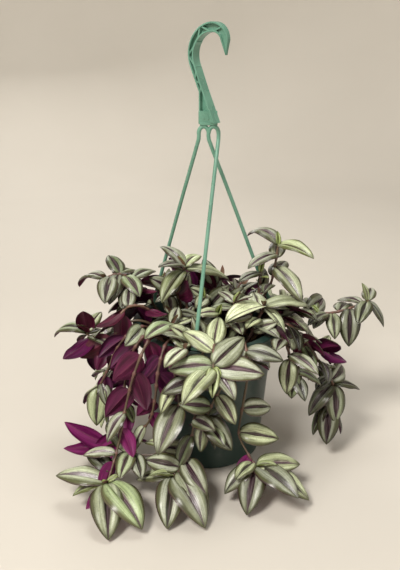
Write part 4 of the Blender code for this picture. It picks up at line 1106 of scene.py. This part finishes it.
UNDER_YOUNG = (0.26, 0.19, 0.09)
UNDER_RIB = (0.15, 0.035, 0.065)

# The other materials' colours, linear
STEM_BROWN, STEM_OLIVE = (0.052, 0.020, 0.018), (0.080, 0.052, 0.028)
STEM_YOUNG, STEM_NODE = (0.120, 0.102, 0.044), (0.170, 0.070, 0.060)
POT_DARK, POT_LIGHT, POT_DUST = (0.014, 0.034, 0.028), (0.024, 0.050, 0.041), (0.20, 0.21, 0.18)
MINT_DARK, MINT_LIGHT = (0.082, 0.204, 0.146), (0.122, 0.275, 0.204)
PEAT_DARK, PEAT_BROWN = (0.012, 0.008, 0.006), (0.050, 0.030, 0.018)
BARK, GRAIN = (0.170, 0.075, 0.030), (0.20, 0.17, 0.12)
PAPER_DARK, PAPER_LIGHT = (0.495, 0.465, 0.415), (0.54, 0.51, 0.46)


class Signal:
    """A node's output. Arithmetic on it adds Math nodes."""

    def __init__(self, look, socket):
        self.look, self.socket = look, socket

    def __add__(self, other):
        return self.look.math("ADD", self, other)

    def __sub__(self, other):
        return self.look.math("SUBTRACT", self, other)

    def __rsub__(self, other):
        return self.look.math("SUBTRACT", other, self)

    def __mul__(self, other):
        return self.look.math("MULTIPLY", self, other)


class Shading:
    """Writes a material's nodes as expressions."""

    def __init__(self, name):
        self.material = bpy.data.materials.new(name)
        self.material.use_nodes = True
        self.shader = self.material.node_tree.nodes["Principled BSDF"]

    def put(self, socket, value):
        if isinstance(value, Signal):
            self.material.node_tree.links.new(value.socket, socket)
        else:
            socket.default_value = (*value, 1.0) if socket.type == "RGBA" else value

    def node(self, kind, inputs, output=0, **settings):
        """A node with its settings, and with its inputs by name or number."""
        node = self.material.node_tree.nodes.new("ShaderNode" + kind)
        for name, value in settings.items():
            setattr(node, name, value)
        for key, value in inputs.items():
            self.put(node.inputs[key], value)
        return Signal(self, node.outputs[output])

    def set(self, **values):
        """Inputs of the Principled shader, with _ for each space in their names."""
        for name, value in values.items():
            self.put(self.shader.inputs[name.replace("_", " ")], value)

    def attributes(self, *names):
        return [self.node("Attribute", {}, "Fac", attribute_name=name) for name in names]

    def math(self, operation, *values, clamp=False):
        return self.node("Math", dict(enumerate(values)), operation=operation, use_clamp=clamp)

    def smooth(self, value, low, high, low_value=0.0, high_value=1.0):
        inputs = dict(enumerate((value, low, high, low_value, high_value)))
        return self.node("MapRange", inputs, interpolation_type="SMOOTHSTEP")

    def place(self):
        return self.node("TexCoord", {}, "Object")

    def vector(self, *values):
        return self.node("CombineXYZ", dict(enumerate(values)))

    def noise(self, vector, scale, detail=2.0, roughness=0.5):
        inputs = {"Vector": vector, "Scale": scale, "Detail": detail, "Roughness": roughness}
        return self.node("TexNoise", inputs, "Fac")

    def mix(self, factor, first, second, blend="MIX"):
        return self.node("Mix", {0: factor, 6: first, 7: second}, 2, data_type="RGBA", blend_type=blend)

    def darkened(self, colour, factor):
        """The colour times a factor."""
        return self.mix(1.0, colour, self.node("CombineColor", dict.fromkeys(range(3), factor)), "MULTIPLY")

    def bump(self, height, strength, distance):
        """Relief of a height from 0 to 1, over a distance in millimetres."""
        inputs = {"Height": height, "Strength": strength, "Distance": distance * MM}
        self.set(Normal=self.node("Bump", inputs))


def leaf_veins(look):
    """Fine and broad streaks that run along the blade, and a mottle of small specks, from 0 to 1."""
    across, along, seed = look.attributes("across", "along", "seed")
    fine = look.noise(look.vector(across * 15, along * 1.6, seed), 1.0, 3.0, 0.6)
    broad = look.noise(look.vector(across * 4.5, along * 1.4, seed), 1.0)
    return fine, broad, look.noise(look.place(), 620, 4.0, 0.7)


def upper_side():
    """Two pale mottled bands beside a dark midrib band, green towards the edges, with a dark rim; painted
    shade on shaded shoots, lilac streaks that are partly painted sheen, and a painted highlight on the
    midrib.
    """
    look = Shading("leaf_upper")
    across, along, seed, tone, age, painted_shade = look.attributes("across", "along", "seed", "tone", "age", "painted_shade")
    # painted shade also widens the dark midrib band, narrows the pale bands and cools the tone, in the lines
    # below
    tone = look.math("MULTIPLY_ADD", painted_shade, 0.5, tone, clamp=True)
    fine, broad, mottle = leaf_veins(look)
    wobble = look.noise(look.vector(across * 1.3, along * 3.2, seed), 1.0, 3.0)
    straight = look.math("ABSOLUTE", across)
    edge = straight + (wobble - 0.5) * 0.24 + (fine - 0.5) * 0.22
    middle = along * (1.0 - along)
    centre = middle * (tone * 0.52 + 0.24) + 0.03 + middle * painted_shade * 0.45
    inner = look.smooth(edge, centre - 0.06, centre + 0.10)
    outer_at = look.noise(look.vector(seed, 0.7, tone), 2.3) * 0.30 + 0.50 - painted_shade * 0.20
    outer = look.smooth(edge, outer_at, outer_at + 0.26, 1.0, 0.0)
    ends = look.smooth(along, 0.01, 0.12) * look.smooth(along, 0.78, 0.99, 1.0, 0.0)
    worn = look.smooth(fine, 0.24, 0.58, 0.30, 1.0) * look.smooth(mottle, 0.30, 0.54, 0.62, 1.0)
    pale = inner * outer * ends * worn

    olive = look.noise(look.vector(seed, 1.3, 0.4), 2.1)
    # lilac streaks in the dark band: partly the leaf's own lilac tint, partly painted sheen
    lilac_tint_and_sheen = look.smooth(fine, 0.45, 0.66) * look.smooth(tone, 0.1, 0.8, 0.45, 1.0)
    lilac_tint_and_sheen = lilac_tint_and_sheen * look.smooth(olive, 0.46, 0.60, 1.0, 0.35)
    band = look.mix(look.smooth(broad + olive - 0.5, 0.40, 0.62), PURPLE_BAND, GREEN_BAND)
    band = look.mix(lilac_tint_and_sheen, band, LILAC_TINT_AND_HIGHLIGHT)
    green = look.mix(look.smooth(fine, 0.3, 0.7), LEAF_GREEN, LEAF_GREEN_LIGHT)
    green = look.mix(look.smooth(edge, centre + 0.10, centre), green, band)
    rim = look.smooth(straight, 0.86, 0.98) * look.smooth(tone, 0.0, 0.7, 0.30, 0.85)
    green = look.mix(rim, green, PURPLE_RIM)
    green = look.mix(age * 0.7, green, YOUNG_GREEN)
    silver = look.mix(look.smooth(tone, 0.2, 0.8), SILVER_WARM, SILVER_COOL)
    silver = look.mix(look.smooth(broad, 0.36, 0.66, 0.0, 0.75), silver, SILVER_GREEN)
    greener = look.noise(look.vector(seed, 0.4, 0.9), 2.7)
    silver = look.mix(look.smooth(greener, 0.56, 0.66, 0.0, 0.65), silver, FRESH_GREEN)
    silver = look.mix(age * 0.8, silver, YOUNG_SILVER)
    colour = look.mix(pale, green, silver)
    # painted highlight: a thin pale lilac line along the midrib groove
    colour = look.mix(look.smooth(straight, 0.012, 0.035, 0.55, 0.0), colour, LILAC_TINT_AND_HIGHLIGHT)
    leaf_value = look.noise(look.vector(seed, tone, 0.5), 1.7)
    colour = look.darkened(colour, look.smooth(leaf_value, 0.34, 0.64, 0.52, 1.14))
    # painted shade: the whole blade darker, or lighter where the shoot's painted shade is negative
    colour = look.darkened(colour, 1.0 - painted_shade * 0.52)
    look.set(Base_Color=colour, Roughness=look.smooth(pale, 0.0, 1.0, 0.26, 0.36), Specular_IOR_Level=0.55)
    look.bump(broad * 1.2 + fine + mottle * 0.35, 0.6, 0.5)
    return look.material


def under_side():
    """Deep magenta purple with paler streaks along the veins."""
    look = Shading("leaf_under")
    across, seed, age, vivid = look.attributes("across", "seed", "age", "vivid")
    fine, broad, mottle = leaf_veins(look)
    wine = look.smooth(look.noise(look.vector(seed, 0.9, 0.2), 1.9), 0.45, 0.60)
    light = look.smooth(broad, 0.3, 0.7)
    deep = look.mix(light, look.mix(wine, PURPLE_DEEP, WINE_DEEP), look.mix(wine, PURPLE_LIGHT, WINE_LIGHT))
    colour = look.mix(vivid, deep, look.mix(light, MAGENTA_DEEP, MAGENTA_LIGHT))
    colour = look.mix(age * 0.45, colour, UNDER_YOUNG)
    rib = look.smooth(look.math("ABSOLUTE", across), 0.015, 0.09, 0.40, 0.0)
    colour = look.mix(rib, colour, UNDER_RIB)
    colour = look.darkened(colour, look.smooth(fine, 0.2, 0.7, 0.74, 1.12))
    look.set(Base_Color=colour, Roughness=look.smooth(mottle, 0.3, 0.7, 0.40, 0.52), Specular_IOR_Level=0.26)
    look.bump(mottle * 0.4 + fine, 0.6, 0.45)
    return look.material


def stem_skin():
    """Reddish brown to green, pinker at the nodes, with streaks along it."""
    look = Shading("stem")
    across, along, seed, node, share = look.attributes("across", "along", "seed", "tone", "age")
    around = look.math("SINE", across * (2 * math.pi))
    streaks = look.noise(look.vector(around * 3.0, along * 0.8, seed), 1.0, 3.0)
    patches = look.noise(look.vector(seed, along, 0.3), 1.4)
    colour = look.mix(look.smooth(patches, 0.35, 0.65), STEM_BROWN, STEM_OLIVE)
    colour = look.mix(share * 0.30, colour, STEM_YOUNG)
    colour = look.mix(node * 0.65, colour, STEM_NODE)
    colour = look.darkened(colour, look.smooth(streaks, 0.25, 0.7, 0.72, 1.12))
    look.set(Base_Color=colour, Roughness=0.42, Specular_IOR_Level=0.5)
    look.bump(streaks, 0.4, 0.4)
    return look.material


def pot_plastic():
    """Dark green moulded plastic, semi-matt, with faint flow marks and dust."""
    look = Shading("pot_plastic")
    place = look.place()
    flow = look.noise(look.node("Mapping", {"Vector": place, "Scale": (1, 1, 0.25)}), 38, 4.0, 0.6)
    dust = look.noise(place, 22, 5.0, 0.65)
    specks = look.noise(place, 900, 2.0, 0.6)
    colour = look.mix(look.smooth(flow, 0.3, 0.7), POT_DARK, POT_LIGHT)
    colour = look.mix(look.smooth(dust, 0.58, 0.80, 0.0, 0.22), colour, POT_DUST)
    look.set(Base_Color=colour, Roughness=look.smooth(dust, 0.3, 0.75, 0.30, 0.48), Specular_IOR_Level=0.5)
    look.bump(specks + flow * 1.5, 0.25, 0.12)
    return look.material


def hanger_plastic():
    """Mint green moulded plastic, satin, a little paler in places."""
    look = Shading("hanger_plastic")
    place = look.place()
    cloud = look.noise(place, 30, 3.0)
    colour = look.mix(look.smooth(cloud, 0.3, 0.7), MINT_DARK, MINT_LIGHT)
    look.set(Base_Color=colour, Roughness=look.smooth(cloud, 0.3, 0.7, 0.24, 0.36), Specular_IOR_Level=0.6)
    look.bump(look.noise(place, 1200), 0.2, 0.08)
    return look.material


def peat_soil():
    """Dark peat with orange-brown bark bits and a few pale grains."""
    look = Shading("peat")
    place = look.place()
    coarse = look.noise(place, 160, 4.0, 0.65)
    bits = look.noise(place, 330)
    colour = look.mix(look.smooth(coarse, 0.3, 0.7), PEAT_DARK, PEAT_BROWN)
    colour = look.mix(look.smooth(bits, 0.58, 0.66), colour, BARK)
    colour = look.mix(look.smooth(bits, 0.28, 0.22), colour, GRAIN)
    look.set(Base_Color=colour, Roughness=0.92, Specular_IOR_Level=0.3)
    look.bump(coarse + look.noise(place, 1400, 3.0, 0.7) * 0.5, 0.8, 1.0)
    return look.material


def floor_paper():
    look = Shading("floor")
    tint = look.noise(look.place(), 3.0, 3.0)
    look.set(Base_Color=look.mix(tint, PAPER_DARK, PAPER_LIGHT), Roughness=0.85)
    return look.material


# ---------------------------------------------------------------- stage

# Stage sizes and places in metres
FLOOR_RADIUS = 1.3
SWEEP_RADIUS = 0.7
WALL_HEIGHT = 2.6
FLOOR_Z = -0.2 * MM
FLOOR_SIDES = 96
AIM = (0, 0, 0.15)
LAMPS = {   # place, size, power, colour
    "key": ((-0.85, -1.35, 2.0), 0.7, 67, (1.0, 0.96, 0.90)),
    "fill": ((1.05, -0.70, 0.90), 0.9, 3, (0.95, 0.97, 1.0)),
    "top": ((0.15, 0.35, 1.9), 0.8, 12, (1.0, 0.98, 0.95)),
    "rim": ((-0.5, 1.5, 0.9), 0.9, 7, (1.0, 0.98, 0.95)),
}
SKY_COLOUR, SKY_STRENGTH = (0.86, 0.83, 0.78, 1.0), 0.19
# The photograph's view, fitted to the rim, the base and the strands
LENS = 44.2
VIEWER_PLACE = (-0.0077, -0.7151, 0.4705)
VIEWER_DOWN = 21


def make_floor():
    """A pale floor that curves up into a wall all round, outside the lights and every viewpoint."""
    profile = [(FLOOR_RADIUS * k / 8, 0) for k in range(1, 9)]
    for k in range(1, 13):
        angle = math.radians(90 * k / 12)
        out, up = math.sin(angle), 1 - math.cos(angle)
        profile.append((FLOOR_RADIUS + SWEEP_RADIUS * out, SWEEP_RADIUS * up))
    profile.append((FLOOR_RADIUS + SWEEP_RADIUS, WALL_HEIGHT))
    verts = [(r * math.cos(angle), r * math.sin(angle), z + FLOOR_Z)
             for r, z in profile for angle in turns(FLOOR_SIDES)]
    faces = [(len(verts), k, (k + 1) % FLOOR_SIDES) for k in range(FLOOR_SIDES)]
    faces += [face[::-1] for face in strips(len(profile), FLOOR_SIDES)]
    mesh_object("floor", verts + [(0, 0, FLOOR_Z)], faces, [floor_paper()], 60)


def make_lights():
    for name, (place, size, power, colour) in LAMPS.items():
        light = bpy.data.lights.new(name, "AREA")
        light.shape = "DISK"
        light.size, light.energy, light.color = size, power, colour
        lamp = placed(name, light)
        lamp.location = place
        lamp.rotation_euler = (Vector(AIM) - Vector(place)).to_track_quat("-Z", "Y").to_euler()
    world = bpy.data.worlds.new("studio")
    bpy.context.scene.world = world
    world.use_nodes = True
    sky = world.node_tree.nodes["Background"]
    sky.inputs["Color"].default_value = SKY_COLOUR
    sky.inputs["Strength"].default_value = SKY_STRENGTH


def make_camera():
    camera = bpy.data.cameras.new("camera")
    camera.lens = LENS
    camera.clip_start = 0.01
    viewer = placed("camera", camera)
    viewer.location = VIEWER_PLACE
    viewer.rotation_euler = (math.radians(90 - VIEWER_DOWN), 0, 0)
    bpy.context.scene.camera = viewer


def main():
    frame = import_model()
    bpy.context.scene.view_settings.view_transform = "Standard"
    make_pot(pot_plastic())
    make_soil(peat_soil())
    make_hanger(hanger_plastic())
    skins = [upper_side(), under_side(), stem_skin()]
    shoots, wished_count = [], 0
    for seed, (name, route, wished) in enumerate(all_shoots()):
        rng = random.Random(LOOK_SEED + seed)
        wished_count += len(wished)
        leaves = dressed_leaves(name, frame["nodes"]["shoot_" + name], wished, rng)
        shoots.append(("shoot_" + name, route, leaves, rng))
    print("leaves wished and found", wished_count, sum(len(shoot[2]) for shoot in shoots))
    calm_crossing(shoots)
    for shoot in shoots:
        make_shoot(*shoot, skins)
    make_floor()
    make_lights()
    make_camera()


main()
